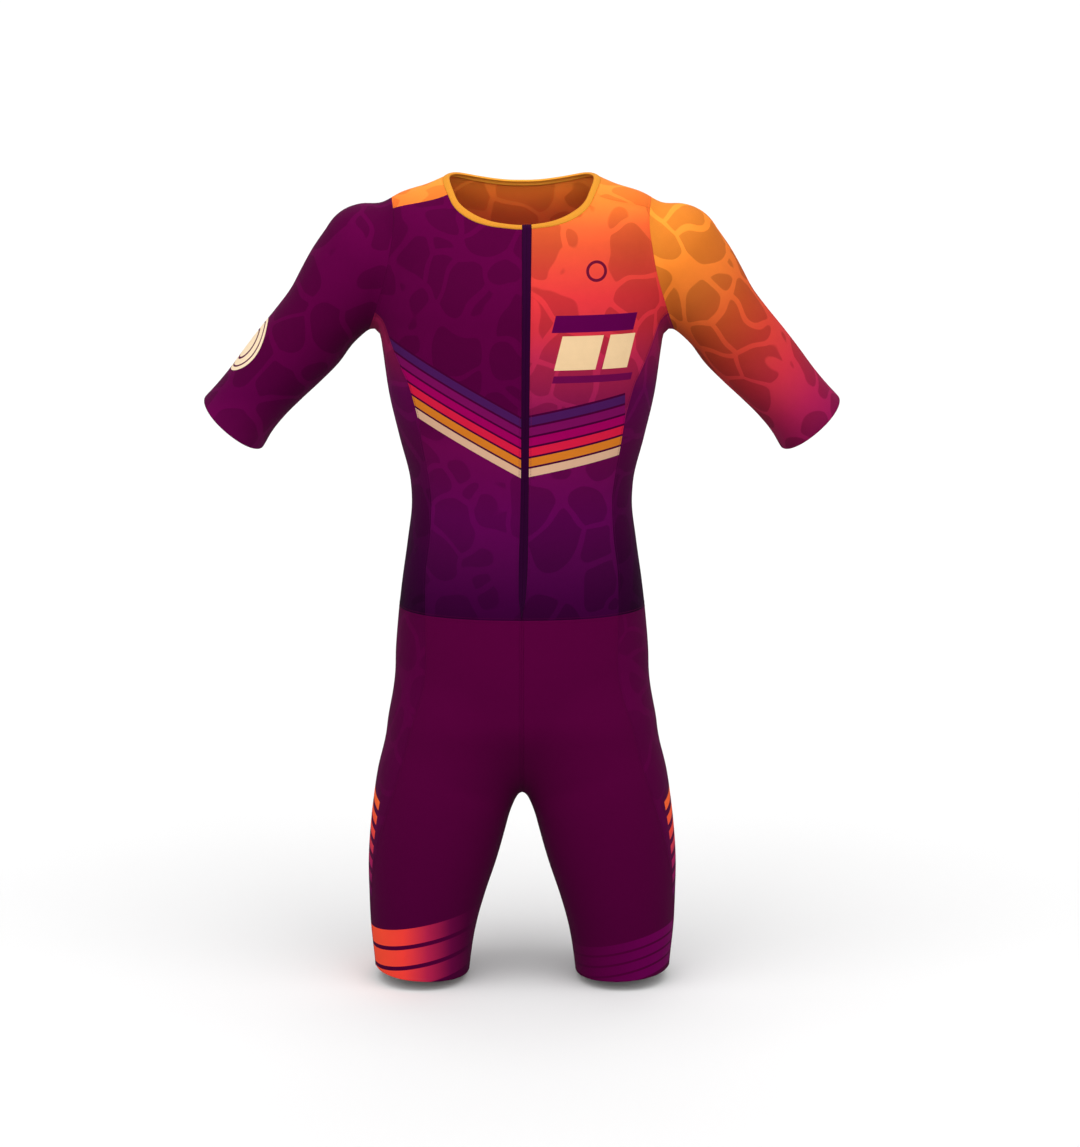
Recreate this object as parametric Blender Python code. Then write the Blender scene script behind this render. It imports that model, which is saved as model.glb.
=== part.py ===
"""Cycling speed suit with short sleeves, filled out with no wearer and open at neck, cuffs and hems.

Metres. The front faces -Y, the wearer's left is +X and +Z is up. The origin is midway between the two
high shoulder points, where the suit is held. All panels are thin walls on one rounded form, and meet at
shared seam lines. Left-hand panels are worked out first; right-hand ones are their mirror images, apart
from the edge along the leaning zip.
"""

from typing import NamedTuple

import bpy
import numpy as np

WALL = 0.0016  # thickness of the stretch cloth
BAND_WALL = 0.0024  # thickness of the folded neckband
BAND_RAISE = 0.0005  # height of the neckband above the panels
ZIP_RAISE = 0.0004  # height of the zip strip above the panels
SEAM_GAP = 0.0003  # clear gap between two sewn panels

CHEST_HEIGHT = -0.160  # widest level of the chest, where the shoulder dome starts
HIP_DEPTH = 0.460  # from the chest level down to the hips, where the seat's dome starts
WAIST_HEIGHT = -0.496  # seam between the top and the shorts
HIP_HEIGHT = -0.620  # level from which the centre seams turn under
LEG_HEIGHT = -0.640  # level where each leg starts inside the hips
HEM_HEIGHT = -0.928  # leg hem at the front and back of the leg
INSEAM_STOP = 0.002  # how far below the crotch point the inseam's own curve ends
HEM_TILT = 0.004  # how much higher the hem is at the outside of the leg, and lower at the inside
DOME_REACH = 0.150  # table station per radian of elevation on a dome

SLEEVE_LENGTH = 0.245  # from the shoulder point inside the sleeve to the cuff
SLEEVE_DROP = 49.0  # degrees below horizontal
SLEEVE_SWEEP = 7.0  # degrees backwards
CUFF_CENTRE = (0.3315, 0.034, -0.2885)

SHOULDER_BLEND = 0.018  # how far sleeve and body are rounded into each other
HIP_BLEND = 0.040  # the same for legs and hips
CROTCH_BLEND = 0.018  # the same for the two legs
RUN_ON = 1.0  # length of the sleeve and leg tubes, which run on past the openings
BODY_REACH = 0.3  # further than the body's cloth lies from its middle
SLEEVE_REACH = 0.1  # the same for a sleeve
ARMHOLE_REACH = 0.16  # the same for the armhole seam

# Sections of a tube. Station runs along it from its start; below zero it counts round the closed dome.
# shift moves the section's middle outwards. outer and inner are half widths, front and back half depths.
# station, shift, outer, inner, front, back, squareness
TORSO_SECTIONS = np.array([
    (-0.2356, 0.0, 0.165, 0.165, 0.165, 0.165, 2.00),
    (-0.1963, 0.0, 0.172, 0.172, 0.155, 0.162, 2.00),
    (-0.1686, 0.0, 0.177, 0.177, 0.142, 0.157, 2.00),
    (-0.1440, 0.0, 0.181, 0.181, 0.130, 0.144, 2.00),
    (-0.1047, 0.0, 0.198, 0.198, 0.119, 0.131, 2.05),
    (-0.0524, 0.0, 0.176, 0.176, 0.113, 0.122, 2.20),
    (0.0000, 0.0, 0.164, 0.164, 0.112, 0.116, 2.30),
    (0.0400, 0.0, 0.158, 0.158, 0.113, 0.112, 2.35),
    (0.0900, 0.0, 0.151, 0.151, 0.110, 0.100, 2.35),
    (0.1400, 0.0, 0.1395, 0.1395, 0.104, 0.088, 2.35),
    (0.1900, 0.0, 0.1275, 0.1275, 0.099, 0.078, 2.30),
    (0.2150, 0.0, 0.1260, 0.1260, 0.097, 0.074, 2.30),
    (0.2600, 0.0, 0.1310, 0.1310, 0.096, 0.073, 2.30),
    (0.3100, 0.0, 0.1380, 0.1380, 0.097, 0.080, 2.30),
    (0.3550, 0.0, 0.1430, 0.1430, 0.098, 0.092, 2.25),
    (0.4000, 0.0, 0.1460, 0.1460, 0.098, 0.106, 2.20),
    (0.4600, 0.0, 0.1420, 0.1420, 0.094, 0.114, 2.20),
    (0.5385, 0.0, 0.1300, 0.1300, 0.086, 0.108, 2.10),
    (0.6170, 0.0, 0.1020, 0.1020, 0.084, 0.096, 2.00),
    (0.6956, 0.0, 0.0830, 0.0830, 0.083, 0.083, 2.00),
])
LEG_SECTIONS = np.array([
    (-0.2400, 0.078, 0.072, 0.050, 0.072, 0.092, 2.00),
    (0.0000, 0.078, 0.074, 0.055, 0.080, 0.100, 2.10),
    (0.0400, 0.082, 0.083, 0.068, 0.084, 0.102, 2.15),
    (0.0876, 0.091, 0.082, 0.080, 0.084, 0.098, 2.15),
    (0.1116, 0.096, 0.0798, 0.0790, 0.083, 0.094, 2.15),
    (0.1600, 0.1047, 0.0744, 0.0744, 0.080, 0.088, 2.10),
    (0.2000, 0.1110, 0.0675, 0.0675, 0.077, 0.083, 2.10),
    (0.2325, 0.1150, 0.0623, 0.0623, 0.074, 0.079, 2.10),
    (0.2900, 0.1170, 0.0550, 0.0550, 0.071, 0.075, 2.10),
    (0.3400, 0.1180, 0.0530, 0.0530, 0.070, 0.074, 2.10),
])
SLEEVE_SECTIONS = np.array([
    (-0.2400, 0.0, 0.0600, 0.0515, 0.060, 0.060, 2.00),
    (-0.1100, 0.0, 0.0705, 0.0560, 0.062, 0.062, 2.00),
    (0.0000, 0.0, 0.0645, 0.0600, 0.062, 0.062, 2.00),
    (0.0300, 0.0, 0.0612, 0.0545, 0.062, 0.062, 2.05),
    (0.0550, 0.0, 0.0560, 0.0475, 0.061, 0.061, 2.10),
    (0.0800, 0.0, 0.0503, 0.0445, 0.060, 0.060, 2.10),
    (0.1100, 0.0, 0.0480, 0.0467, 0.058, 0.059, 2.10),
    (0.1400, 0.0, 0.0470, 0.0450, 0.057, 0.058, 2.10),
    (0.1700, 0.0, 0.0452, 0.0420, 0.056, 0.057, 2.10),
    (0.2000, 0.0, 0.0428, 0.0401, 0.056, 0.056, 2.10),
    (0.2250, 0.0, 0.0422, 0.0412, 0.056, 0.056, 2.10),
    (0.2450, 0.0, 0.0428, 0.0449, 0.056, 0.056, 2.10),
    (0.2900, 0.0, 0.0435, 0.0465, 0.056, 0.056, 2.10),
])

# Seam lines, each as a short table of places on the form.
# plan angle in degrees (-90 front, 0 side, 90 back), elevation in degrees from the chest's middle
NECKLINE = np.array([
    (-90.0, 53.7),
    (-76.0, 53.6),
    (-64.0, 52.8),
    (-50.0, 52.2),
    (-38.0, 53.3),
    (-25.0, 56.8),
    (0.0, 60.5),
    (45.0, 62.6),
    (90.0, 63.5),
])
# plan angle in degrees, width of the neckband, which narrows towards the zip
BAND_WIDTHS = np.array([
    (-90.0, 0.0049),
    (-76.0, 0.0049),
    (-64.0, 0.0058),
    (-50.0, 0.0077),
    (-38.0, 0.0080),
    (0.0, 0.0080),
    (90.0, 0.0080),
])
# height, distance of the armhole seam from the centre plane at the front, the same at the back
ARMHOLE_HEIGHT = -0.100
ARMHOLE = np.array([
    (-0.1760, 0.1726, 0.1726),
    (-0.1600, 0.1670, 0.1660),
    (-0.1387, 0.1605, 0.1590),
    (-0.1110, 0.1525, 0.1520),
    (-0.0790, 0.1465, 0.1480),
    (-0.0555, 0.1435, 0.1470),
    (-0.0380, 0.1441, 0.1470),
    (-0.0230, 0.1478, 0.1478),
])
# height, distance of the front side seam from the centre plane, the same for the back side seam;
# from the last row each runs straight to the armhole
SIDE_SEAMS = np.array([
    (-0.4960, 0.1100, 0.1120),
    (-0.4453, 0.1089, 0.1060),
    (-0.4073, 0.1042, 0.1010),
    (-0.3555, 0.1030, 0.1000),
    (-0.3303, 0.1061, 0.1030),
    (-0.3029, 0.1110, 0.1080),
    (-0.2664, 0.1170, 0.1150),
    (-0.2295, 0.1269, 0.1250),
])
# height, angle round the leg of the front side seam of the shorts, the same for the back side seam
SHORTS_SEAMS = np.array([
    (-0.9300, -14.0, 34.0),
    (-0.8387, -22.0, 36.0),
    (-0.7824, -32.0, 39.0),
    (-0.7153, -43.0, 44.0),
    (-0.6319, -52.0, 50.0),
    (-0.5661, -62.0, 54.0),
    (-0.4960, -62.0, 56.0),
])
# height, middle of the zip from the centre plane towards the wearer's left, half its width
ZIP_LINE = np.array([
    (-0.4960, 0.0000, 0.00000),
    (-0.4900, 0.0000, 0.00040),
    (-0.4740, 0.0006, 0.00340),
    (-0.4550, 0.0012, 0.00430),
    (-0.3593, 0.0034, 0.00430),
    (-0.2459, 0.0045, 0.00440),
    (-0.1336, 0.0056, 0.00480),
    (-0.0513, 0.0061, 0.00540),
])
SHOULDER_SEAM_NECK = -26.0  # plan angle where the forward shoulder seam starts at the neckline
SHOULDER_SEAM_ARM = 116.0  # armhole angle where it ends
SHOULDER_SEAM_BOW = 0.006  # how far it bows forwards
FRONT_SIDE_ARM = 232.0  # armhole angle where the front side seam starts
BACK_SIDE_ARM = 310.0  # armhole angle where the back side seam starts
NECK_FRONT_ANGLES = (-96.0, -60.0)  # plan angles between which the zip meets the neckline
ARM_TURN_KEPT = 0.4  # share of the armhole's own turn kept at the cuff; the rest is evenly spaced
ZIP_FOOT = 0.25  # share of its first cell that the zip starts above the waist
BAND_EDGE = 0.2  # share of half a turn at which the neckband's rounding starts at each edge

# Numbers of cells along each seam
NECK_FRONT = 6
SHOULDER = 3
NECK_BACK = 16
ARM_FRONT = 7
ARM_UNDER = 6
ARM_BACK = 9
SIDE = 15
SIDE_ACROSS = 6
CENTRE = 11
INSEAM = 9
SLEEVE_ROWS = 12
SLEEVE_CROWDING = 1.15  # above one, the sleeve's rows are closer together at the shoulder
BAND_ROWS = 2
ZIP_COLUMNS = 2
FINE = 80  # points on a seam before it is divided evenly

HALVINGS = 40  # rounds of halving the way to the cloth
SLOPE_STEP = 2e-5  # half the step over which the form's slope is taken
LEAST_SLOPE = 0.05  # floor of the squared slope when points are moved onto the form
LEAST_MITRE = 0.3  # floor of the divisor at a sharp corner of a panel
TINY = 1e-9

PLUM = (0.080, 0.002, 0.040, 1.0)
ORANGE = (0.850, 0.230, 0.040, 1.0)
CRIMSON = (0.480, 0.030, 0.090, 1.0)
NIGHT = (0.022, 0.002, 0.025, 1.0)
AMBER = (0.930, 0.330, 0.040, 1.0)
CLOTH_ROUGHNESS = 0.75


class Tube(NamedTuple):
    """One rounded tube of the form, closed by a dome at its start and at its end."""

    start: np.ndarray
    along: np.ndarray
    wide: np.ndarray
    deep: np.ndarray
    length: float
    sections: np.ndarray


def smooth_rows(table, stations):
    """A table's columns after the first on smooth curves through its rows; constant beyond its ends."""
    keys = table[:, 0]
    values = table[:, 1:]
    slopes = np.gradient(values, keys, axis=0)
    row = np.clip(np.searchsorted(keys, stations) - 1, 0, len(keys) - 2)
    step = keys[row + 1] - keys[row]
    part = np.clip((stations - keys[row]) / step, 0.0, 1.0)
    ease = (part * part * (3.0 - 2.0 * part))[..., None]
    leave = (part * (1.0 - part) ** 2 * step)[..., None] * slopes[row]
    arrive = (part * part * (1.0 - part) * step)[..., None] * slopes[row + 1]
    return values[row] + ease * (values[row + 1] - values[row]) + leave - arrive


def smooth(table, column, stations):
    """One column of a table on smooth curves through its rows."""
    return smooth_rows(table, np.asarray(stations, dtype=float))[..., column - 1]


def tube_distance(points, tube):
    """Rough distance outside the tube's surface, negative inside."""
    away = points - tube.start
    run = away @ tube.along
    wide = away @ tube.wide
    deep = away @ tube.deep
    beyond = np.where(run < 0.0, run, np.maximum(run - tube.length, 0.0))
    turn = np.arctan2(beyond, np.hypot(wide, deep))
    station = np.clip(run, 0.0, tube.length) + DOME_REACH * turn
    shift, outer, inner, front, back, power = np.moveaxis(
        smooth_rows(tube.sections, station), -1, 0
    )
    wide = wide - shift
    wide = np.where(np.hypot(wide, deep) < TINY, TINY, wide)
    flat = np.hypot(wide, deep)
    half_width = np.where(wide > 0.0, outer, inner)
    half_depth = np.where(deep < 0.0, front, back)
    spread = np.abs(wide / flat / half_width) ** power + np.abs(deep / flat / half_depth) ** power
    return np.hypot(flat, beyond) - spread ** (-1.0 / power)


def unit(vector):
    """The vector at length one."""
    vector = np.asarray(vector, dtype=float)
    return vector / np.linalg.norm(vector, axis=-1, keepdims=True)


def sleeve_axis():
    """Direction from the wearer's left shoulder to the cuff."""
    drop = np.radians(SLEEVE_DROP)
    sweep = np.radians(SLEEVE_SWEEP)
    return np.array([
        np.cos(drop) * np.cos(sweep), np.sin(sweep), -np.sin(drop) * np.cos(sweep)
    ])


def sleeve_tube():
    """The left sleeve as a tube."""
    along = sleeve_axis()
    drop = np.radians(SLEEVE_DROP)
    wide = np.array([np.sin(drop), 0.0, np.cos(drop)])
    deep = unit(np.cross(wide, along))
    start = np.array(CUFF_CENTRE) - SLEEVE_LENGTH * along
    return Tube(start, along, wide, deep, RUN_ON, SLEEVE_SECTIONS)


DOWN = np.array([0.0, 0.0, -1.0])
RIGHTWARDS = np.array([1.0, 0.0, 0.0])
BACKWARDS = np.array([0.0, 1.0, 0.0])
TORSO = Tube(
    np.array([0.0, 0.0, CHEST_HEIGHT]), DOWN, RIGHTWARDS, BACKWARDS, HIP_DEPTH, TORSO_SECTIONS
)
LEG = Tube(np.array([0.0, 0.0, LEG_HEIGHT]), DOWN, RIGHTWARDS, BACKWARDS, RUN_ON, LEG_SECTIONS)
SLEEVE = sleeve_tube()
MIRROR = np.array([-1.0, 1.0, 1.0])


def blend(first, second, width):
    """The lesser of two distances, rounded where they are within width of each other."""
    near = np.maximum(width - np.abs(first - second), 0.0) / width
    return np.minimum(first, second) - near * near * width / 4.0


def form(points):
    """Rough distance outside the whole garment's form, negative inside."""
    mirrored = points * MIRROR
    legs = blend(tube_distance(points, LEG), tube_distance(mirrored, LEG), CROTCH_BLEND)
    body = blend(tube_distance(points, TORSO), legs, HIP_BLEND)
    sleeves = np.minimum(tube_distance(points, SLEEVE), tube_distance(mirrored, SLEEVE))
    return blend(body, sleeves, SHOULDER_BLEND)


def slope(points):
    """Gradient of the form's distance."""
    moves = np.eye(3) * SLOPE_STEP
    ahead = [form(points + move) for move in moves]
    behind = [form(points - move) for move in moves]
    return (np.stack(ahead, axis=-1) - np.stack(behind, axis=-1)) / (2.0 * SLOPE_STEP)


def settle(points, rounds=12):
    """The points moved onto the form along its slope."""
    points = np.array(points, dtype=float)
    for _ in range(rounds):
        lean = slope(points)
        steep = np.maximum(np.sum(lean * lean, axis=-1), LEAST_SLOPE)
        points = points - lean * (form(points) / steep)[..., None]
    return points


def cast(starts, directions, reach):
    """Where rays that start inside the form leave it."""
    starts = np.atleast_2d(starts)
    directions = np.atleast_2d(directions)
    rays = max(len(starts), len(directions))
    near = np.zeros(rays)
    far = np.zeros(rays) + reach
    for _ in range(HALVINGS):
        middle = (near + far) / 2.0
        inside = form(starts + directions * middle[:, None]) < 0.0
        near = np.where(inside, middle, near)
        far = np.where(inside, far, middle)
    return starts + directions * near[:, None]


def resample(curve, cells, crowding=1.0):
    """The curve in steps along its length: equal ones, or closer together at its start."""
    steps = np.linalg.norm(np.diff(curve, axis=0), axis=1)
    along = np.concatenate([[0.0], np.cumsum(steps)])
    wanted = np.linspace(0.0, 1.0, cells + 1) ** crowding * along[-1]
    return np.stack([np.interp(wanted, along, curve[:, axis]) for axis in range(3)], axis=1)


def even(curve, cells):
    """The curve at equal steps, back on the form, with its ends kept."""
    points = settle(resample(curve, cells))
    points[0] = curve[0]
    points[-1] = curve[-1]
    return points


def neckline(angles, climb=0.0):
    """Points of the neckline seam at plan angles, or of a line that far above it on the form."""
    plan = np.radians(angles)
    rise = np.radians(smooth(NECKLINE, 1, np.asarray(angles, dtype=float)))
    middle = TORSO.start
    for _ in range(2):
        directions = np.stack([
            np.cos(rise) * np.cos(plan), np.cos(rise) * np.sin(plan), np.sin(rise)
        ], axis=1)
        points = cast(middle, directions, BODY_REACH)
        if climb == 0.0:
            return points
        rise = rise + climb / np.linalg.norm(points - middle, axis=1)
        climb = 0.0
    return points


def neck_angle(across):
    """Plan angle of the neckline's front where it is that far from the centre plane."""
    angles = np.linspace(*NECK_FRONT_ANGLES, FINE)
    return float(np.interp(across, neckline(angles)[:, 0], angles))


def armhole(angles):
    """Points of the left armhole seam; 90 is the top, 180 the front, 270 the underarm, 360 the back."""
    turn = np.radians(angles)
    near = np.zeros(len(turn))
    far = np.full(len(turn), ARMHOLE_REACH)
    for _ in range(HALVINGS):
        middle = (near + far) / 2.0
        deep = middle * np.cos(turn)
        height = ARMHOLE_HEIGHT + middle * np.sin(turn)
        across = np.where(deep < 0.0, smooth(ARMHOLE, 1, height), smooth(ARMHOLE, 2, height))
        points = np.stack([across, deep, height], axis=1)
        inside = form(points) < 0.0
        near = np.where(inside, middle, near)
        far = np.where(inside, far, middle)
    return points


def side_seam(column, arm_angle, facing):
    """Left side seam from the waist up to the armhole; facing is -1 at the front and 1 at the back."""
    top = armhole(np.array([arm_angle]))[0]
    heights = np.linspace(WAIST_HEIGHT, SIDE_SEAMS[-1, 0], FINE)
    starts = np.stack([smooth(SIDE_SEAMS, column, heights), np.zeros(FINE), heights], axis=1)
    return even(np.vstack([cast(starts, BACKWARDS * facing, BODY_REACH), top]), SIDE)


def plan_angle(point):
    """Angle of a point round the centre line, in degrees."""
    return float(np.degrees(np.arctan2(point[1], point[0])))


def waist(first, last, cells):
    """Points of the waist seam between two plan angles."""
    plan = np.radians(np.linspace(first, last, FINE))
    directions = np.stack([np.cos(plan), np.sin(plan), np.zeros(FINE)], axis=1)
    return even(cast(np.array([0.0, 0.0, WAIST_HEIGHT]), directions, BODY_REACH), cells)


def shoulder_seam():
    """Left forward shoulder seam from the neckline to the armhole."""
    start = neckline([SHOULDER_SEAM_NECK])[0]
    end = armhole(np.array([SHOULDER_SEAM_ARM]))[0]
    part = np.linspace(0.0, 1.0, FINE)[:, None]
    curve = start + (end - start) * part - BACKWARDS * SHOULDER_SEAM_BOW * 4.0 * part * (1.0 - part)
    curve = settle(curve)
    curve[0] = start
    curve[-1] = end
    return even(curve, SHOULDER)


def zip_edge(side):
    """One edge of the zip from the waist up to the neckline; side is 1 at the wearer's left."""
    across_top = ZIP_LINE[-1, 1] + side * ZIP_LINE[-1, 2]
    top = neckline([neck_angle(across_top)])[0]
    heights = np.linspace(WAIST_HEIGHT, top[2], FINE)
    across = smooth(ZIP_LINE, 1, heights) + side * smooth(ZIP_LINE, 2, heights)
    starts = np.stack([across, np.zeros(FINE), heights], axis=1)
    curve = cast(starts, -BACKWARDS, BODY_REACH)
    curve[-1] = top
    return even(curve, SIDE + ARM_FRONT)


def hem_height(angles):
    """Height of the leg hem at angles round the leg."""
    return HEM_HEIGHT + HEM_TILT * np.cos(np.radians(angles))


def leg_middle(heights):
    """Distance of the leg's middle from the centre plane."""
    return smooth(LEG_SECTIONS, 1, LEG_HEIGHT - heights)


def leg_points(angles, heights, reach):
    """Points on the left leg at angles round its middle; -90 is the front and 0 the outside."""
    turn = np.radians(angles) + np.zeros(len(heights))
    starts = np.stack([leg_middle(heights), np.zeros(len(heights)), heights], axis=1)
    directions = np.stack([np.cos(turn), np.sin(turn), np.zeros(len(heights))], axis=1)
    return cast(starts, directions, reach)


def shorts_seam(column, top):
    """Left outer seam of the shorts from the hem up to the given point of the waist."""
    heights = np.linspace(hem_height(SHORTS_SEAMS[0, column]), WAIST_HEIGHT, FINE)
    middle = leg_middle(np.array([WAIST_HEIGHT]))[0]
    angles = smooth(SHORTS_SEAMS, column, heights)
    top_angle = np.degrees(np.arctan2(top[1], top[0] - middle))
    angles = angles + (top_angle - angles[-1]) * np.linspace(0.0, 1.0, FINE) ** 3
    curve = leg_points(angles, heights, BODY_REACH)
    curve[-1] = top
    return even(curve, CENTRE + INSEAM)


def centre_seam(facing):
    """Centre seam of the shorts from the crotch up to the waist; facing is -1 in front, 1 behind."""
    top = cast(np.array([0.0, 0.0, WAIST_HEIGHT]), BACKWARDS * facing, BODY_REACH)[0]
    last = np.arctan2(top[2] - HIP_HEIGHT, abs(top[1]))
    turn = np.linspace(-np.pi / 2.0, last, FINE)
    directions = np.stack([np.zeros(FINE), facing * np.cos(turn), np.sin(turn)], axis=1)
    curve = cast(np.array([0.0, 0.0, HIP_HEIGHT]), directions, BODY_REACH)
    curve[-1] = top
    return even(curve, CENTRE)


def inseam(crotch):
    """Left inseam from the hem up to the crotch."""
    heights = np.linspace(hem_height(180.0), crotch[2] - INSEAM_STOP, FINE)
    curve = leg_points(np.full(FINE, 180.0), heights, leg_middle(heights))
    return even(np.vstack([curve, crotch]), INSEAM)


def hem(first, last, cells):
    """Points of the left hem between two angles round the leg."""
    angles = np.linspace(first, last, FINE)
    heights = hem_height(angles)
    return even(leg_points(angles, heights, leg_middle(heights)), cells)


def spread(grid, rounds=3):
    """The grid with each inner column divided evenly and the columns evened out."""
    for _ in range(rounds):
        for column in range(1, grid.shape[1] - 1):
            grid[:, column] = resample(grid[:, column], grid.shape[0] - 1)
        inner = grid[1:-1, 1:-1] / 2.0 + (grid[1:-1, 2:] + grid[1:-1, :-2]) / 4.0
        grid[1:-1, 1:-1] = settle(inner.reshape(-1, 3), 3).reshape(inner.shape)
    inner = grid[1:-1, 1:-1]
    grid[1:-1, 1:-1] = settle(inner.reshape(-1, 3)).reshape(inner.shape)
    return grid


def panel_grid(bottom, top, left, right):
    """Grid of points on the form between four edges; rows run up, columns from left to right."""
    across = np.linspace(0.0, 1.0, len(bottom))[None, :, None]
    up = np.linspace(0.0, 1.0, len(left))[:, None, None]
    rows = (1.0 - up) * bottom[None] + up * top[None]
    columns = (1.0 - across) * left[:, None] + across * right[:, None]
    low = (1.0 - across) * bottom[0] + across * bottom[-1]
    high = (1.0 - across) * top[0] + across * top[-1]
    grid = rows + columns - (1.0 - up) * low - up * high
    inner = grid[1:-1, 1:-1]
    grid[1:-1, 1:-1] = settle(inner.reshape(-1, 3)).reshape(inner.shape)
    grid[0] = bottom
    grid[-1] = top
    grid[:, 0] = left
    grid[:, -1] = right
    return spread(grid)


def chain(*curves):
    """Curves joined end to end, with each shared point kept once."""
    return np.vstack([curves[0]] + [curve[1:] for curve in curves[1:]])


def across_centre(curve):
    """The curve's mirror image, run the other way."""
    return (curve * MIRROR)[::-1]


def inward_moves(loop):
    """Move of each point of a closed line towards its left, seen from outside the form."""
    normals = unit(slope(loop))
    edges = np.roll(loop, -1, axis=0) - loop
    ahead = unit(np.cross(normals, edges))
    behind = np.roll(ahead, 1, axis=0)
    share = 1.0 + np.sum(ahead * behind, axis=1, keepdims=True)
    return (ahead + behind) / np.maximum(share, LEAST_MITRE) * SEAM_GAP / 2.0


def draw_in(grid, wraps):
    """The grid with its edges half a seam gap inside the seam lines."""
    grid = grid.copy()
    if wraps:
        grid[0] += inward_moves(grid[0])
        grid[-1] += inward_moves(grid[-1][::-1])[::-1]
        return grid
    last_row = grid.shape[0] - 1
    last_column = grid.shape[1] - 1
    places = [(0, column) for column in range(last_column)]
    places += [(row, last_column) for row in range(last_row)]
    places += [(last_row, column) for column in range(last_column, 0, -1)]
    places += [(row, 0) for row in range(last_row, 0, -1)]
    rows, columns = np.array(places).T
    grid[rows, columns] += inward_moves(grid[rows, columns])
    return grid


def wall_object(name, grid, colour, wraps=False, wall=WALL, raises=0.0):
    """A closed thin wall on the grid, its outer face raised that far above the form."""
    grid = draw_in(grid, wraps)
    rows, columns = grid.shape[:2]
    normals = unit(slope(grid.reshape(-1, 3)))
    lift = np.broadcast_to(np.asarray(raises), (rows, columns)).reshape(-1, 1)
    outer = grid.reshape(-1, 3) + normals * lift
    inner = outer - normals * wall
    count = rows * columns
    triangles = []
    for row in range(rows - 1):
        for column in range(columns if wraps else columns - 1):
            beside = (column + 1) % columns
            a = row * columns + column
            b = row * columns + beside
            c = (row + 1) * columns + beside
            d = (row + 1) * columns + column
            if np.linalg.norm(outer[a] - outer[c]) <= np.linalg.norm(outer[b] - outer[d]):
                triangles += [(a, b, c), (a, c, d)]
            else:
                triangles += [(a, b, d), (b, c, d)]
    sides = set()
    for a, b, c in triangles:
        sides |= {(a, b), (b, c), (c, a)}
    faces = list(triangles)
    faces += [(c + count, b + count, a + count) for a, b, c in triangles]
    for a, b in sorted(sides):
        if (b, a) in sides:
            continue
        if np.linalg.norm(outer[b] - inner[a]) <= np.linalg.norm(outer[a] - inner[b]):
            faces += [(b, a, a + count), (b, a + count, b + count)]
        else:
            faces += [(b, a, b + count), (a, a + count, b + count)]
    mesh = bpy.data.meshes.new(name)
    mesh.from_pydata(np.vstack([outer, inner]).tolist(), [], faces)
    mesh.materials.append(cloth_material(name, colour))
    made = bpy.data.objects.new(name, mesh)
    bpy.context.scene.collection.objects.link(made)
    return made


def cloth_material(name, colour):
    """Matt stretch cloth of one colour."""
    material = bpy.data.materials.new(name + "_cloth")
    material.use_nodes = True
    shader = material.node_tree.nodes["Principled BSDF"]
    shader.inputs["Base Color"].default_value = colour
    shader.inputs["Roughness"].default_value = CLOTH_ROUGHNESS
    shader.inputs["Metallic"].default_value = 0.0
    return material


def mirrored_grid(grid):
    """The right-hand grid that mirrors a left-hand one."""
    return (grid * MIRROR)[:, ::-1]


class Seams:
    """Every seam line of the left half, each worked out once and shared by its two panels."""

    def __init__(self):
        self.side_front = side_seam(1, FRONT_SIDE_ARM, -1.0)
        self.side_back = side_seam(2, BACK_SIDE_ARM, 1.0)
        front_angle = plan_angle(self.side_front[0])
        back_angle = plan_angle(self.side_back[0])
        self.waist_front = waist(-90.0, front_angle, NECK_FRONT + SHOULDER)
        self.waist_side = waist(front_angle, back_angle, SIDE_ACROSS)
        self.waist_back = waist(back_angle, 90.0, NECK_BACK // 2)
        self.waist_front[-1] = self.waist_side[0] = self.side_front[0]
        self.waist_side[-1] = self.waist_back[0] = self.side_back[0]
        self.shoulder = shoulder_seam()
        self.neck_back = self.neck(SHOULDER_SEAM_NECK, 90.0, NECK_BACK // 2)
        self.arm_front = self.arm(SHOULDER_SEAM_ARM, FRONT_SIDE_ARM, ARM_FRONT)
        self.arm_under = self.arm(FRONT_SIDE_ARM, BACK_SIDE_ARM, ARM_UNDER)
        self.arm_back = self.arm(BACK_SIDE_ARM, SHOULDER_SEAM_ARM + 360.0, ARM_BACK)
        self.arm_back[-1] = self.arm_front[0]
        self.centre_front = centre_seam(-1.0)
        self.centre_back = centre_seam(1.0)
        self.centre_back[0] = self.centre_front[0]
        self.waist_front[0] = self.centre_front[-1]
        self.waist_back[-1] = self.centre_back[-1]
        self.inseam = inseam(self.centre_front[0])
        self.shorts_front = shorts_seam(1, self.side_front[0])
        self.shorts_back = shorts_seam(2, self.side_back[0])
        front_hem, back_hem = SHORTS_SEAMS[0, 1:]
        self.hem_front = hem(-180.0, front_hem, NECK_FRONT + SHOULDER)
        self.hem_side = hem(front_hem, back_hem, SIDE_ACROSS)
        self.hem_back = hem(back_hem, 180.0, NECK_BACK // 2)
        self.hem_front[0] = self.hem_back[-1] = self.inseam[0]
        self.hem_front[-1] = self.hem_side[0] = self.shorts_front[0]
        self.hem_side[-1] = self.hem_back[0] = self.shorts_back[0]

    def neck(self, first, last, cells):
        """Part of the neckline seam between two plan angles."""
        return even(neckline(np.linspace(first, last, FINE)), cells)

    def arm(self, first, last, cells):
        """Part of the armhole seam between two angles."""
        return even(armhole(np.linspace(first, last, FINE)), cells)

    def neck_front(self, edge_top):
        """Neckline from the top of a zip edge to the shoulder seam."""
        part = self.neck(plan_angle(edge_top), SHOULDER_SEAM_NECK, NECK_FRONT)
        part[0] = edge_top
        part[-1] = self.shoulder[0]
        return part


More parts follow.
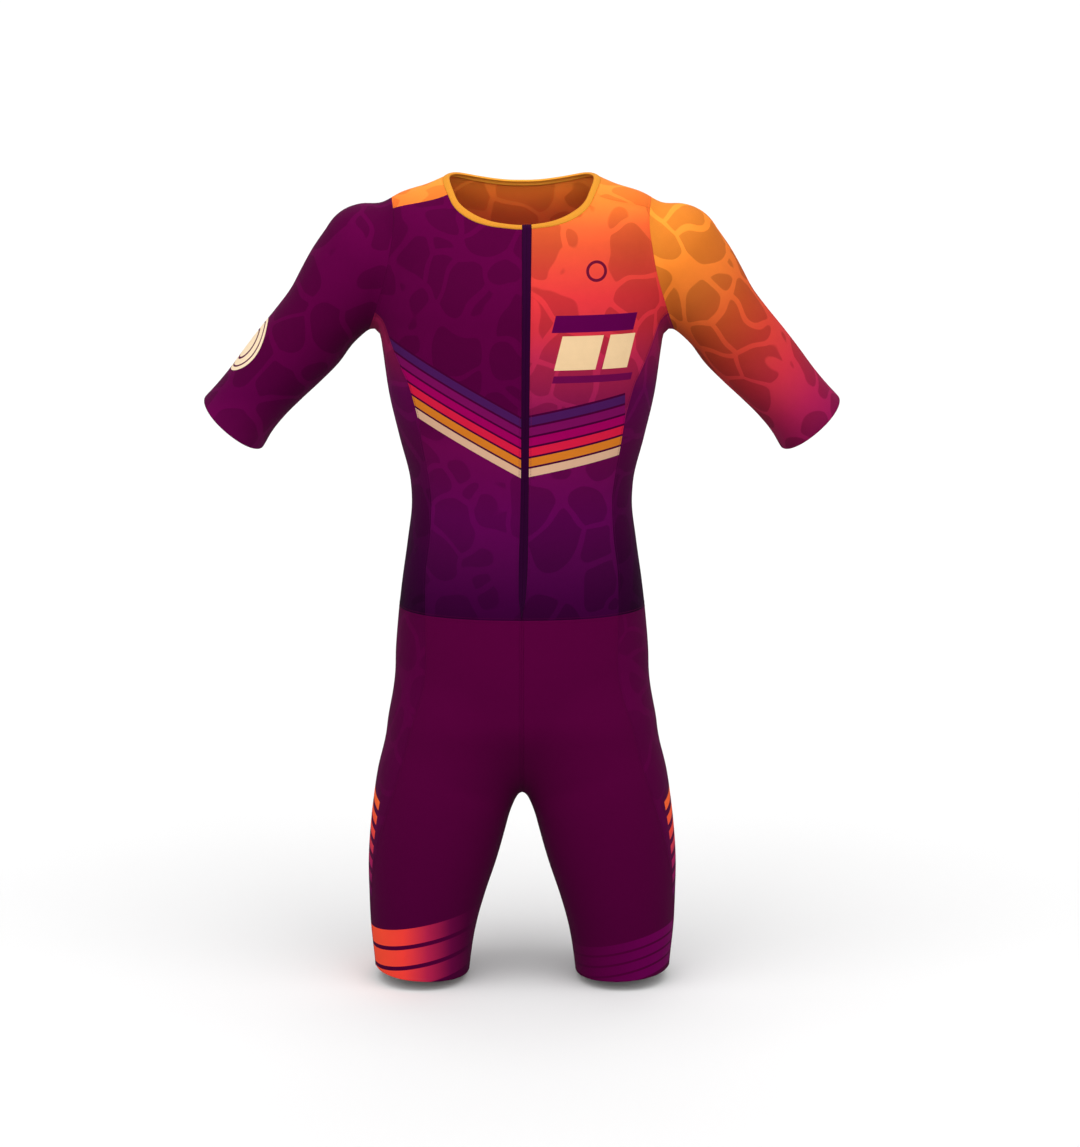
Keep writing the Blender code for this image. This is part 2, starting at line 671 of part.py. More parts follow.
def front_grid(seams, edge):
    """Left front panel beside the given zip edge."""
    edge = edge.copy()
    edge[0] = seams.waist_front[0]
    top = chain(seams.neck_front(edge[-1]), seams.shoulder)
    outside = chain(seams.side_front, seams.arm_front[::-1])
    return panel_grid(seams.waist_front, top, edge, outside)


def back_grid(seams):
    """Back panel with both shoulder wraps."""
    bottom = chain(seams.waist_back, across_centre(seams.waist_back))
    top = chain(seams.neck_back, across_centre(seams.neck_back))
    left = chain(seams.side_back, seams.arm_back, seams.shoulder[::-1])
    return panel_grid(bottom, top, left, left * MIRROR)


def sleeve_grid(seams):
    """Left sleeve as rings from the armhole to the cuff."""
    ring = chain(seams.arm_front, seams.arm_under, seams.arm_back)[:-1]
    away = ring - SLEEVE.start
    own = np.unwrap(np.arctan2(away @ SLEEVE.deep, away @ SLEEVE.wide))
    turns = np.sign(own[-1] - own[0]) * 2.0 * np.pi * np.arange(len(ring)) / len(ring)
    turn = ARM_TURN_KEPT * own + (1.0 - ARM_TURN_KEPT) * (turns + np.mean(own - turns))
    middle = SLEEVE.start + SLEEVE.along * SLEEVE_LENGTH
    directions = np.cos(turn)[:, None] * SLEEVE.wide + np.sin(turn)[:, None] * SLEEVE.deep
    cuff = cast(middle, directions, SLEEVE_REACH)
    part = np.linspace(0.0, 1.0, SLEEVE_ROWS + 1)[:, None, None]
    grid = (1.0 - part) * ring[None] + part * cuff[None]
    for _ in range(3):
        inner = grid[1:-1]
        grid[1:-1] = settle(inner.reshape(-1, 3)).reshape(inner.shape)
        for column in range(grid.shape[1]):
            grid[:, column] = resample(grid[:, column], SLEEVE_ROWS, SLEEVE_CROWDING)
    inner = grid[1:-1]
    grid[1:-1] = settle(inner.reshape(-1, 3)).reshape(inner.shape)
    return grid


def shorts_grids(seams):
    """Left front, side and back panels of the shorts."""
    front = panel_grid(
        seams.hem_front,
        seams.waist_front,
        chain(seams.inseam, seams.centre_front),
        seams.shorts_front,
    )
    side = panel_grid(
        seams.hem_side, seams.waist_side, seams.shorts_front, seams.shorts_back
    )
    back = panel_grid(
        seams.hem_back,
        seams.waist_back,
        seams.shorts_back,
        chain(seams.inseam, seams.centre_back),
    )
    return front, side, back


def band_line(seams, left_edge, right_edge):
    """The neckline seam from the zip's left edge round the back to its right edge."""
    left = chain(seams.neck_front(left_edge[-1]), seams.neck_back)
    right = chain(seams.neck_front(right_edge[-1]), seams.neck_back)
    return chain(left, across_centre(right))


def band_top(line):
    """The neckband's top edge: the neckline moved up the form by the band's width."""
    points = line.copy()
    for row, point in enumerate(line):
        facing = 1.0 if point[0] >= 0.0 else -1.0
        angle = plan_angle(point * np.array([facing, 1.0, 1.0]))
        width = float(smooth(BAND_WIDTHS, 1, np.array([angle]))[0])
        moved = neckline([angle], width)[0]
        points[row] = moved * np.array([facing, 1.0, 1.0])
    return points


def zip_grid(left_edge, right_edge, left_top, right_top):
    """Zip strip from its pointed foot to the top of the neckband."""
    left = np.vstack([left_edge, left_top])
    right = np.vstack([right_edge, right_top])
    left[0] = left[0] + (left[1] - left[0]) * ZIP_FOOT
    right[0] = right[0] + (right[1] - right[0]) * ZIP_FOOT
    part = np.linspace(0.0, 1.0, ZIP_COLUMNS + 1)[None, :, None]
    grid = (1.0 - part) * right[:, None] + part * left[:, None]
    inner = grid[:, 1:-1]
    grid[:, 1:-1] = settle(inner.reshape(-1, 3)).reshape(inner.shape)
    return grid


def build():
    """Every panel of the suit."""
    seams = Seams()
    left_edge = zip_edge(1.0)
    right_edge = zip_edge(-1.0)
    left_edge[0] = right_edge[0] = seams.waist_front[0]
    left_front = front_grid(seams, left_edge)
    right_front = mirrored_grid(front_grid(seams, right_edge * MIRROR))
    wall_object("front_left", left_front, ORANGE)
    wall_object("front_right", right_front, PLUM)
    side = panel_grid(
        seams.waist_side, seams.arm_under, seams.side_front, seams.side_back
    )
    wall_object("side_left", side, CRIMSON)
    wall_object("side_right", mirrored_grid(side), CRIMSON)
    wall_object("back", back_grid(seams), AMBER)
    sleeve = sleeve_grid(seams)
    wall_object("sleeve_left", sleeve, ORANGE, wraps=True)
    wall_object("sleeve_right", mirrored_grid(sleeve), PLUM, wraps=True)
    front, flank, back = shorts_grids(seams)
    for name, grid in (("front", front), ("side", flank), ("back", back)):
        wall_object("shorts_" + name + "_left", grid, PLUM)
        wall_object("shorts_" + name + "_right", mirrored_grid(grid), PLUM)
    line = band_line(seams, left_edge, right_edge * MIRROR)
    edge = band_top(line)
    part = np.linspace(0.0, 1.0, BAND_ROWS + 1)[:, None, None]
    band = (1.0 - part) * line[None] + part * edge[None]
    band[1:-1] = settle(band[1:-1].reshape(-1, 3)).reshape(band[1:-1].shape)
    turn = np.pi * (BAND_EDGE + (1.0 - 2.0 * BAND_EDGE) * part[:, :, 0])
    bulge = BAND_RAISE * np.sin(turn)
    wall_object("neckband", band, AMBER, wall=BAND_WALL, raises=bulge)
    strip = zip_grid(left_edge, right_edge, edge[0], edge[-1])
    wall_object("zip", strip, NIGHT, raises=ZIP_RAISE)


def main():
    """Clear the scene and build the suit."""
    for old in list(bpy.data.objects):
        bpy.data.objects.remove(old, do_unlink=True)
    build()


if __name__ == "__main__":
    main()
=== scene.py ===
"""Cycling speed suit: cloth shells, seams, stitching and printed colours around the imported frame.

Metres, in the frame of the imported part. The front faces -Y, the wearer's left is +X and +Z is up. Every
panel is a thin shell on one rounded form, between seam lines that two panels share.
"""

import logging
import math
from dataclasses import dataclass, field
from enum import Enum
from typing import Callable, Dict, List, NamedTuple, Optional, Sequence, Tuple, Union

import bpy
import numpy as np
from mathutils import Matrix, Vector

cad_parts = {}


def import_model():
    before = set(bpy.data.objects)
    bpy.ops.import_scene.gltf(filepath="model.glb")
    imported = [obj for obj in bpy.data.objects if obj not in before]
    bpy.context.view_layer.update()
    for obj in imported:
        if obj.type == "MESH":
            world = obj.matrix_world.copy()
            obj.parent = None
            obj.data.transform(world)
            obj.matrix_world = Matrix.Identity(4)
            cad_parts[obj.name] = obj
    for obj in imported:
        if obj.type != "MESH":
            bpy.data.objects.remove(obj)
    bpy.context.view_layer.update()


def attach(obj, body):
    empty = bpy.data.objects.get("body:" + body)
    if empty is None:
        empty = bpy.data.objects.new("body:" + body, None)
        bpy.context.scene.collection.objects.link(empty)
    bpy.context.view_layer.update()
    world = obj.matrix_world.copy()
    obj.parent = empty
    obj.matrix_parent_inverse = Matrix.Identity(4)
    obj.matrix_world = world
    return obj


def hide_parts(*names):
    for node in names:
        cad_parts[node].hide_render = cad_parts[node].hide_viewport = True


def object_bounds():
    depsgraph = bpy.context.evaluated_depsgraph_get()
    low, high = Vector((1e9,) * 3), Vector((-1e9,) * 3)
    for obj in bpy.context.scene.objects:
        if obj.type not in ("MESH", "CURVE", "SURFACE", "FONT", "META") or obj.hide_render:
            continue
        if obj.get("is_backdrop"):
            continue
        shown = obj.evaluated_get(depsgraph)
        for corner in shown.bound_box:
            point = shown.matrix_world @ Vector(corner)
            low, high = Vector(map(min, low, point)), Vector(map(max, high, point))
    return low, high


LOG = logging.getLogger("speed_suit")
MIRROR = np.array([-1.0, 1.0, 1.0])
DOWN = np.array([0.0, 0.0, -1.0])
BACKWARDS = np.array([0.0, 1.0, 0.0])
RIGHTWARDS = np.array([1.0, 0.0, 0.0])
ORIGIN = (0.0, 0.0, 0.0)
TINY = 1e-9
UV_NAME = "cloth"
INNER_NAME = "inner"

Stops = Tuple[Tuple[float, str], ...]
Socket = bpy.types.NodeSocket
Value = Union[Socket, float, Tuple[float, ...]]
Edge = Callable[[bool], np.ndarray]


def unit(vector: np.ndarray) -> np.ndarray:
    """The vectors at length one."""
    vector = np.asarray(vector, dtype=float)
    return vector / np.maximum(np.linalg.norm(vector, axis=-1, keepdims=True), TINY)


def smooth_rows(keys: np.ndarray, values: np.ndarray, places: np.ndarray) -> np.ndarray:
    """Values on smooth curves through a table's rows; constant beyond its ends.

    Args:
        keys: The rows' places, rising.
        values: One row of values for each key.
        places: Where the curves are read.

    Returns:
        The values at the places, with the columns last.
    """
    slopes = np.gradient(values, keys, axis=0)
    row = np.clip(np.searchsorted(keys, places) - 1, 0, len(keys) - 2)
    step = keys[row + 1] - keys[row]
    part = np.clip((places - keys[row]) / step, 0.0, 1.0)
    ease = (part * part * (3.0 - 2.0 * part))[..., None]
    leave = (part * (1.0 - part) ** 2 * step)[..., None] * slopes[row]
    arrive = (part * part * (1.0 - part) * step)[..., None] * slopes[row + 1]
    return values[row] + ease * (values[row + 1] - values[row]) + leave - arrive


def column(table: np.ndarray, index: int, places: Sequence[float]) -> np.ndarray:
    """One column of a table on a smooth curve through its rows."""
    return smooth_rows(table[:, 0], table[:, 1:], np.asarray(places, dtype=float))[..., index - 1]


def resample(curve: np.ndarray, shares: np.ndarray) -> np.ndarray:
    """The curve's points at shares of its length.

    Args:
        curve: Points along the curve.
        shares: Shares of its length, from 0 to 1.

    Returns:
        One point for each share.
    """
    steps = np.linalg.norm(np.diff(curve, axis=0), axis=1)
    along = np.concatenate([[0.0], np.cumsum(steps)])
    wanted = shares * along[-1]
    return np.stack([np.interp(wanted, along, curve[:, axis]) for axis in range(3)], axis=1)


def chain(*curves: np.ndarray) -> np.ndarray:
    """Curves joined end to end, with each shared point kept once."""
    return np.vstack([curves[0]] + [curve[1:] for curve in curves[1:]])


def across_centre(curve: np.ndarray) -> np.ndarray:
    """The curve's mirror image, run the other way."""
    return (curve * MIRROR)[::-1]


class Tube(NamedTuple):
    """One rounded tube of the form, closed by a dome at its start.

    The sections give station, shift, outer and inner half widths, front and back half depths, squareness.
    """

    start: np.ndarray
    along: np.ndarray
    wide: np.ndarray
    deep: np.ndarray
    length: float
    sections: np.ndarray
    dome_reach: float = 0.150

    def distance(self, points: np.ndarray) -> np.ndarray:
        """Rough distance outside the tube, negative inside.

        Args:
            points: The places that are tested.

        Returns:
            One distance for each point.
        """
        away = points - self.start
        run = away @ self.along
        wide = away @ self.wide
        deep = away @ self.deep
        beyond = np.where(run < 0.0, run, np.maximum(run - self.length, 0.0))
        turn = np.arctan2(beyond, np.hypot(wide, deep))
        station = np.clip(run, 0.0, self.length) + self.dome_reach * turn
        rows = smooth_rows(self.sections[:, 0], self.sections[:, 1:], station)
        shift, outer, inner, front, back, power = np.moveaxis(rows, -1, 0)
        wide = wide - shift
        wide = np.where(np.hypot(wide, deep) < TINY, TINY, wide)
        flat = np.hypot(wide, deep)
        half_width = np.where(wide > 0.0, outer, inner)
        half_depth = np.where(deep < 0.0, front, back)
        spread = np.abs(wide / flat / half_width) ** power + np.abs(deep / flat / half_depth) ** power
        return np.hypot(flat, beyond) - spread ** (-1.0 / power)


def rounded_least(first: np.ndarray, second: np.ndarray, width: float) -> np.ndarray:
    """The lesser of two distances, rounded where they are within width of each other."""
    near = np.maximum(width - np.abs(first - second), 0.0) / width
    return np.minimum(first, second) - near * near * width / 4.0


@dataclass(frozen=True)
class Form:
    """The rounded body of air that the cloth lies on: torso, two legs and two sleeves."""

    chest_height: float = -0.160
    hip_depth: float = 0.460
    leg_height: float = -0.640
    sleeve_length: float = 0.245
    sleeve_drop: float = 49.0
    sleeve_sweep: float = 7.0
    cuff_centre: Tuple[float, float, float] = (0.3315, 0.034, -0.2885)
    shoulder_blend: float = 0.018
    hip_blend: float = 0.040
    crotch_blend: float = 0.018
    run_on: float = 1.0
    slope_step: float = 2e-5
    least_slope: float = 0.05
    halvings: int = 40

    @property
    def torso(self) -> Tube:
        """The torso from the chest down to the hips, domed at both ends.

        Returns:
            The tube.
        """
        sections = np.array([
            (-0.2356, 0.0, 0.165, 0.165, 0.165, 0.165, 2.00),
            (-0.1963, 0.0, 0.172, 0.172, 0.155, 0.162, 2.00),
            (-0.1686, 0.0, 0.177, 0.177, 0.142, 0.157, 2.00),
            (-0.1440, 0.0, 0.181, 0.181, 0.130, 0.144, 2.00),
            (-0.1047, 0.0, 0.198, 0.198, 0.119, 0.131, 2.05),
            (-0.0524, 0.0, 0.176, 0.176, 0.113, 0.122, 2.20),
            (0.0000, 0.0, 0.164, 0.164, 0.112, 0.116, 2.30),
            (0.0400, 0.0, 0.158, 0.158, 0.113, 0.112, 2.35),
            (0.0900, 0.0, 0.151, 0.151, 0.110, 0.100, 2.35),
            (0.1400, 0.0, 0.1395, 0.1395, 0.104, 0.088, 2.35),
            (0.1900, 0.0, 0.1275, 0.1275, 0.099, 0.078, 2.30),
            (0.2150, 0.0, 0.1260, 0.1260, 0.097, 0.074, 2.30),
            (0.2600, 0.0, 0.1310, 0.1310, 0.096, 0.073, 2.30),
            (0.3100, 0.0, 0.1380, 0.1380, 0.097, 0.080, 2.30),
            (0.3550, 0.0, 0.1430, 0.1430, 0.098, 0.092, 2.25),
            (0.4000, 0.0, 0.1460, 0.1460, 0.098, 0.106, 2.20),
            (0.4600, 0.0, 0.1420, 0.1420, 0.094, 0.114, 2.20),
            (0.5385, 0.0, 0.1300, 0.1300, 0.086, 0.108, 2.10),
            (0.6170, 0.0, 0.1020, 0.1020, 0.084, 0.096, 2.00),
            (0.6956, 0.0, 0.0830, 0.0830, 0.083, 0.083, 2.00),
        ])
        start = np.array([0.0, 0.0, self.chest_height])
        return Tube(start, DOWN, RIGHTWARDS, BACKWARDS, self.hip_depth, sections)

    @property
    def leg(self) -> Tube:
        """The left leg, which starts inside the hips.

        Returns:
            The tube.
        """
        sections = np.array([
            (-0.2400, 0.078, 0.072, 0.050, 0.072, 0.092, 2.00),
            (0.0000, 0.078, 0.074, 0.055, 0.080, 0.100, 2.10),
            (0.0400, 0.082, 0.083, 0.068, 0.084, 0.102, 2.15),
            (0.0876, 0.091, 0.082, 0.080, 0.084, 0.098, 2.15),
            (0.1116, 0.096, 0.0798, 0.0790, 0.083, 0.094, 2.15),
            (0.1600, 0.1047, 0.0744, 0.0744, 0.080, 0.088, 2.10),
            (0.2000, 0.1110, 0.0675, 0.0675, 0.077, 0.083, 2.10),
            (0.2325, 0.1150, 0.0623, 0.0623, 0.074, 0.079, 2.10),
            (0.2900, 0.1170, 0.0550, 0.0550, 0.071, 0.075, 2.10),
            (0.3400, 0.1180, 0.0530, 0.0530, 0.070, 0.074, 2.10),
        ])
        start = np.array([0.0, 0.0, self.leg_height])
        return Tube(start, DOWN, RIGHTWARDS, BACKWARDS, self.run_on, sections)

    @property
    def sleeve(self) -> Tube:
        """The left sleeve from inside the shoulder to past the cuff.

        Returns:
            The tube.
        """
        sections = np.array([
            (-0.2400, 0.0, 0.0600, 0.0515, 0.060, 0.060, 2.00),
            (-0.1100, 0.0, 0.0705, 0.0560, 0.062, 0.062, 2.00),
            (0.0000, 0.0, 0.0645, 0.0600, 0.062, 0.062, 2.00),
            (0.0300, 0.0, 0.0612, 0.0545, 0.062, 0.062, 2.05),
            (0.0550, 0.0, 0.0560, 0.0475, 0.061, 0.061, 2.10),
            (0.0800, 0.0, 0.0503, 0.0445, 0.060, 0.060, 2.10),
            (0.1100, 0.0, 0.0480, 0.0467, 0.058, 0.059, 2.10),
            (0.1400, 0.0, 0.0470, 0.0450, 0.057, 0.058, 2.10),
            (0.1700, 0.0, 0.0452, 0.0420, 0.056, 0.057, 2.10),
            (0.2000, 0.0, 0.0428, 0.0401, 0.056, 0.056, 2.10),
            (0.2250, 0.0, 0.0422, 0.0412, 0.056, 0.056, 2.10),
            (0.2450, 0.0, 0.0428, 0.0449, 0.056, 0.056, 2.10),
            (0.2900, 0.0, 0.0435, 0.0465, 0.056, 0.056, 2.10),
        ])
        drop = math.radians(self.sleeve_drop)
        sweep = math.radians(self.sleeve_sweep)
        along = np.array([
            math.cos(drop) * math.cos(sweep), math.sin(sweep), -math.sin(drop) * math.cos(sweep)
        ])
        wide = np.array([math.sin(drop), 0.0, math.cos(drop)])
        deep = unit(np.cross(wide, along))
        start = np.array(self.cuff_centre) - self.sleeve_length * along
        return Tube(start, along, wide, deep, self.run_on, sections)

    def distance(self, points: np.ndarray) -> np.ndarray:
        """Rough distance outside the whole garment's form, negative inside.

        Args:
            points: The places that are tested.

        Returns:
            One distance for each point.
        """
        mirrored = points * MIRROR
        leg, sleeve = self.leg, self.sleeve
        legs = rounded_least(leg.distance(points), leg.distance(mirrored), self.crotch_blend)
        body = rounded_least(self.torso.distance(points), legs, self.hip_blend)
        sleeves = np.minimum(sleeve.distance(points), sleeve.distance(mirrored))
        return rounded_least(body, sleeves, self.shoulder_blend)

    def slope(self, points: np.ndarray) -> np.ndarray:
        """Gradient of the distance.

        Args:
            points: Where it is read.

        Returns:
            One vector for each point.
        """
        moves = np.eye(3) * self.slope_step
        ahead = [self.distance(points + move) for move in moves]
        behind = [self.distance(points - move) for move in moves]
        return (np.stack(ahead, axis=-1) - np.stack(behind, axis=-1)) / (2.0 * self.slope_step)

    def normal(self, points: np.ndarray) -> np.ndarray:
        """Outward directions of length one."""
        return unit(self.slope(points))

    def settle(self, points: np.ndarray, rounds: int = 6) -> np.ndarray:
        """Move points onto the form along its slope.

        Args:
            points: Points near the form.
            rounds: How many steps are taken.

        Returns:
            The points on the form.
        """
        flat = np.array(points, dtype=float).reshape(-1, 3)
        for _ in range(rounds):
            lean = self.slope(flat)
            steep = np.maximum(np.sum(lean * lean, axis=-1), self.least_slope)
            flat = flat - lean * (self.distance(flat) / steep)[..., None]
        return flat.reshape(np.shape(points))

    def cast(self, starts: np.ndarray, directions: np.ndarray, reach: Value) -> np.ndarray:
        """Where rays that start inside the form leave it.

        Args:
            starts: One start, or one for each ray.
            directions: One direction, or one for each ray.
            reach: A length, or one for each ray, that is surely outside.

        Returns:
            One point for each ray.
        """
        starts = np.atleast_2d(starts)
        directions = np.atleast_2d(directions)
        near = np.zeros(max(len(starts), len(directions)))
        far = near + reach
        for _ in range(self.halvings):
            middle = (near + far) / 2.0
            inside = self.distance(starts + directions * middle[:, None]) < 0.0
            near = np.where(inside, middle, near)
            far = np.where(inside, far, middle)
        return starts + directions * near[:, None]


@dataclass(frozen=True)
class Division:
    """How an edge made of seams is divided: even cells, with closer ones beside each seam's ends."""

    cells: Tuple[int, ...]
    finer: int = 4
    close: Tuple[float, ...] = (0.15, 0.45)

    @property
    def total(self) -> int:
        """Number of coarse cells along the edge."""
        return sum(self.cells)

    def places(self) -> np.ndarray:
        """Places of the fine points, counted in coarse cells from the start.

        Returns:
            The places, rising.
        """
        found: List[float] = []
        start = 0
        for count in self.cells:
            even = [start + step / self.finer for step in range(count * self.finer + 1)]
            found += even
            found += [start + share / self.finer for share in self.close]
            found += [start + count - share / self.finer for share in self.close]
            start += count
        return np.unique(np.round(found, 9))


FRONT_ACROSS = Division((6, 3))
FRONT_UP = Division((15, 7))
SIDE_ACROSS = Division((6,))
SIDE_UP = Division((15,))
BACK_ACROSS = Division((8, 8))
BACK_UP = Division((15, 9, 3))
ARM_ROUND = Division((7, 6, 9))
SLEEVE_DOWN = Division((12,), finer=5)
SHORTS_UP = Division((9, 11))
SHORTS_BACK_ACROSS = Division((8,))
SHOULDER = Division((3,))
NECK_FRONT = Division((6,))
ARM_FRONT = Division((7,))
ARM_BACK = Division((9,))
INSEAM = Division((9,))
CENTRE = Division((11,))


class Seam:
    """One seam line as a fine curve on the form, read at shares of its length."""

    def __init__(self, form: Form, curve: np.ndarray) -> None:
        """Keep the curve.

        Args:
            form: The form that the curve lies on.
            curve: Its points, close together.
        """
        self.form = form
        self.curve = curve

    def at(self, division: Division) -> np.ndarray:
        """The seam's fine points under a division, with its ends kept."""
        return self._read(division.places() / division.total)

    def coarse(self, division: Division) -> np.ndarray:
        """The seam's points at the ends of a division's coarse cells."""
        return self._read(np.linspace(0.0, 1.0, division.total + 1))

    def _read(self, shares: np.ndarray) -> np.ndarray:
        """Points of the seam, with its ends kept.

        Args:
            shares: Shares of its length, from 0 to 1.

        Returns:
            One point for each share.
        """
        points = self.form.settle(resample(self.curve, shares))
        points[0] = self.curve[0]
        points[-1] = self.curve[-1]
        return points

    @property
    def start(self) -> np.ndarray:
        """The first point."""
        return self.curve[0]

    @property
    def end(self) -> np.ndarray:
        """The last point."""
        return self.curve[-1]


@dataclass
class Pattern:
    """Every seam line of the suit's left half, each worked out once and shared by two panels."""

    form: Form
    fine: int = 120
    body_reach: float = 0.3
    sleeve_reach: float = 0.1
    armhole_reach: float = 0.16
    waist_height: float = -0.496
    hip_height: float = -0.620
    hem_height: float = -0.928
    hem_tilt: float = 0.004
    inseam_stop: float = 0.002
    armhole_height: float = -0.100
    shoulder_neck: float = -26.0
    shoulder_arm: float = 116.0
    shoulder_bow: float = 0.006
    front_side_arm: float = 232.0
    back_side_arm: float = 310.0
    neck_front_angles: Tuple[float, float] = (-96.0, -60.0)
    neckline_rows: np.ndarray = field(default_factory=lambda: np.array([
        (-90.0, 53.7),
        (-76.0, 53.6),
        (-64.0, 52.8),
        (-50.0, 52.2),
        (-38.0, 53.3),
        (-25.0, 56.8),
        (0.0, 60.5),
        (45.0, 62.6),
        (90.0, 63.5),
    ]))
    armhole_rows: np.ndarray = field(default_factory=lambda: np.array([
        (-0.1760, 0.1726, 0.1726),
        (-0.1600, 0.1670, 0.1660),
        (-0.1387, 0.1605, 0.1590),
        (-0.1110, 0.1525, 0.1520),
        (-0.0790, 0.1465, 0.1480),
        (-0.0555, 0.1435, 0.1470),
        (-0.0380, 0.1441, 0.1470),
        (-0.0230, 0.1478, 0.1478),
    ]))
    side_rows: np.ndarray = field(default_factory=lambda: np.array([
        (-0.4960, 0.1100, 0.1120),
        (-0.4453, 0.1089, 0.1060),
        (-0.4073, 0.1042, 0.1010),
        (-0.3555, 0.1030, 0.1000),
        (-0.3303, 0.1061, 0.1030),
        (-0.3029, 0.1110, 0.1080),
        (-0.2664, 0.1170, 0.1150),
        (-0.2295, 0.1269, 0.1250),
    ]))
    shorts_rows: np.ndarray = field(default_factory=lambda: np.array([
        (-0.9300, -14.0, 34.0),
        (-0.8387, -22.0, 36.0),
        (-0.7824, -32.0, 39.0),
        (-0.7153, -43.0, 44.0),
        (-0.6319, -52.0, 50.0),
        (-0.5661, -62.0, 54.0),
        (-0.4960, -62.0, 56.0),
    ]))
    zip_rows: np.ndarray = field(default_factory=lambda: np.array([
        (-0.4960, 0.0000, 0.00000),
        (-0.4900, 0.0000, 0.00040),
        (-0.4740, 0.0006, 0.00340),
        (-0.4550, 0.0012, 0.00430),
        (-0.3593, 0.0034, 0.00430),
        (-0.2459, 0.0045, 0.00440),
        (-0.1336, 0.0056, 0.00480),
        (-0.0513, 0.0061, 0.00540),
    ]))

    def __post_init__(self) -> None:
        """Work out the seams."""
        form = self.form
        self.side_front = self._side(1, self.front_side_arm, -1.0)
        self.side_back = self._side(2, self.back_side_arm, 1.0)
        front_angle = self.plan_angle(self.side_front.start)
        back_angle = self.plan_angle(self.side_back.start)
        self.centre_front = self._centre(-1.0)
        self.centre_back = self._centre(1.0)
        self.centre_back.curve[0] = self.centre_front.start
        self.waist_front = self._waist(-90.0, front_angle)
        self.waist_side = self._waist(front_angle, back_angle)
        self.waist_back = self._waist(back_angle, 90.0)
        self.pin(self.waist_front, self.centre_front.end, self.side_front.start)
        self.pin(self.waist_side, self.side_front.start, self.side_back.start)
        self.pin(self.waist_back, self.side_back.start, self.centre_back.end)
        self.shoulder = self._shoulder()
        self.neck_back = Seam(form, self.neckline(np.linspace(self.shoulder_neck, 90.0, self.fine)))
        self.arm_front = self._arm(self.shoulder_arm, self.front_side_arm)
        self.arm_under = self._arm(self.front_side_arm, self.back_side_arm)
        self.arm_back = self._arm(self.back_side_arm, self.shoulder_arm + 360.0)
        self.pin(self.arm_back, self.arm_back.start, self.arm_front.start)
        self.inseam = self._inseam()
        self.shorts_front = self._outer(1, self.side_front.start)
        self.shorts_back = self._outer(2, self.side_back.start)
        front_hem, back_hem = self.shorts_rows[0, 1:]
        self.hem_front = self._hem(-180.0, front_hem)
        self.hem_side = self._hem(front_hem, back_hem)
        self.hem_back = self._hem(back_hem, 180.0)
        self.pin(self.hem_front, self.inseam.start, self.shorts_front.start)
        self.pin(self.hem_side, self.shorts_front.start, self.shorts_back.start)
        self.pin(self.hem_back, self.shorts_back.start, self.inseam.start)

    @staticmethod
    def pin(seam: Seam, start: np.ndarray, end: np.ndarray) -> None:
        """Put a seam's ends on points that it shares."""
        seam.curve[0] = start
        seam.curve[-1] = end

    @staticmethod
    def plan_angle(point: np.ndarray) -> float:
        """Angle of a point round the centre line, in degrees; -90 is the front."""
        return float(np.degrees(np.arctan2(point[1], point[0])))

    def neckline(self, angles: np.ndarray, climb: Union[float, np.ndarray] = 0.0) -> np.ndarray:
        """Points of the neckline seam.

        Args:
            angles: Plan angles in degrees.
            climb: How far above the seam, along the form; one length, or one for each angle.

        Returns:
            One point for each angle.
        """
        plan = np.radians(angles)
        rise = np.radians(column(self.neckline_rows, 1, angles))
        middle = np.array([0.0, 0.0, self.form.chest_height])
        points = self._dome_points(middle, plan, rise)
        if not np.any(climb):
            return points
        return self._dome_points(middle, plan, rise + climb / np.linalg.norm(points - middle, axis=1))

    def _dome_points(self, middle: np.ndarray, plan: np.ndarray, rise: np.ndarray) -> np.ndarray:
        """Where directions from the chest's middle leave the form.

        Args:
            middle: The chest's middle.
            plan: Angles round the centre line, in radians.
            rise: Angles above the level, in radians.

        Returns:
            One point for each pair of angles.
        """
        directions = np.stack([
            np.cos(rise) * np.cos(plan), np.cos(rise) * np.sin(plan), np.sin(rise)
        ], axis=1)
        return self.form.cast(middle, directions, self.body_reach)

    def armhole(self, angles: np.ndarray) -> np.ndarray:
        """Points of the left armhole; 90 is the top, 180 the front, 270 the underarm, 360 the back.

        Args:
            angles: Angles round the armhole, in degrees.

        Returns:
            One point for each angle.
        """
        turn = np.radians(angles)
        near = np.zeros(len(turn))
        far = np.full(len(turn), self.armhole_reach)
        points = np.zeros((len(turn), 3))
        for _ in range(self.form.halvings):
            middle = (near + far) / 2.0
            deep = middle * np.cos(turn)
            height = self.armhole_height + middle * np.sin(turn)
            front = column(self.armhole_rows, 1, height)
            back = column(self.armhole_rows, 2, height)
            points = np.stack([np.where(deep < 0.0, front, back), deep, height], axis=1)
            inside = self.form.distance(points) < 0.0
            near = np.where(inside, middle, near)
            far = np.where(inside, far, middle)
        return points

    def _arm(self, first: float, last: float) -> Seam:
        """A part of the armhole seam."""
        return Seam(self.form, self.armhole(np.linspace(first, last, self.fine)))

    def _side(self, index: int, arm_angle: float, facing: float) -> Seam:
        """A seam beside the side panel, from the waist up to the armhole.

        Args:
            index: Column of the side rows.
            arm_angle: Where it meets the armhole.
            facing: -1 for the front seam and 1 for the back seam.

        Returns:
            The seam.
        """
        top = self.armhole(np.array([arm_angle]))[0]
        heights = np.linspace(self.waist_height, self.side_rows[-1, 0], self.fine)
        starts = np.stack([column(self.side_rows, index, heights), np.zeros(self.fine), heights], axis=1)
        curve = self.form.cast(starts, BACKWARDS * facing, self.body_reach)
        last = self.form.settle(curve[-1] + (top - curve[-1]) * np.linspace(0.0, 1.0, 20)[:, None])
        last[0] = curve[-1]
        last[-1] = top
        return Seam(self.form, chain(curve, last))

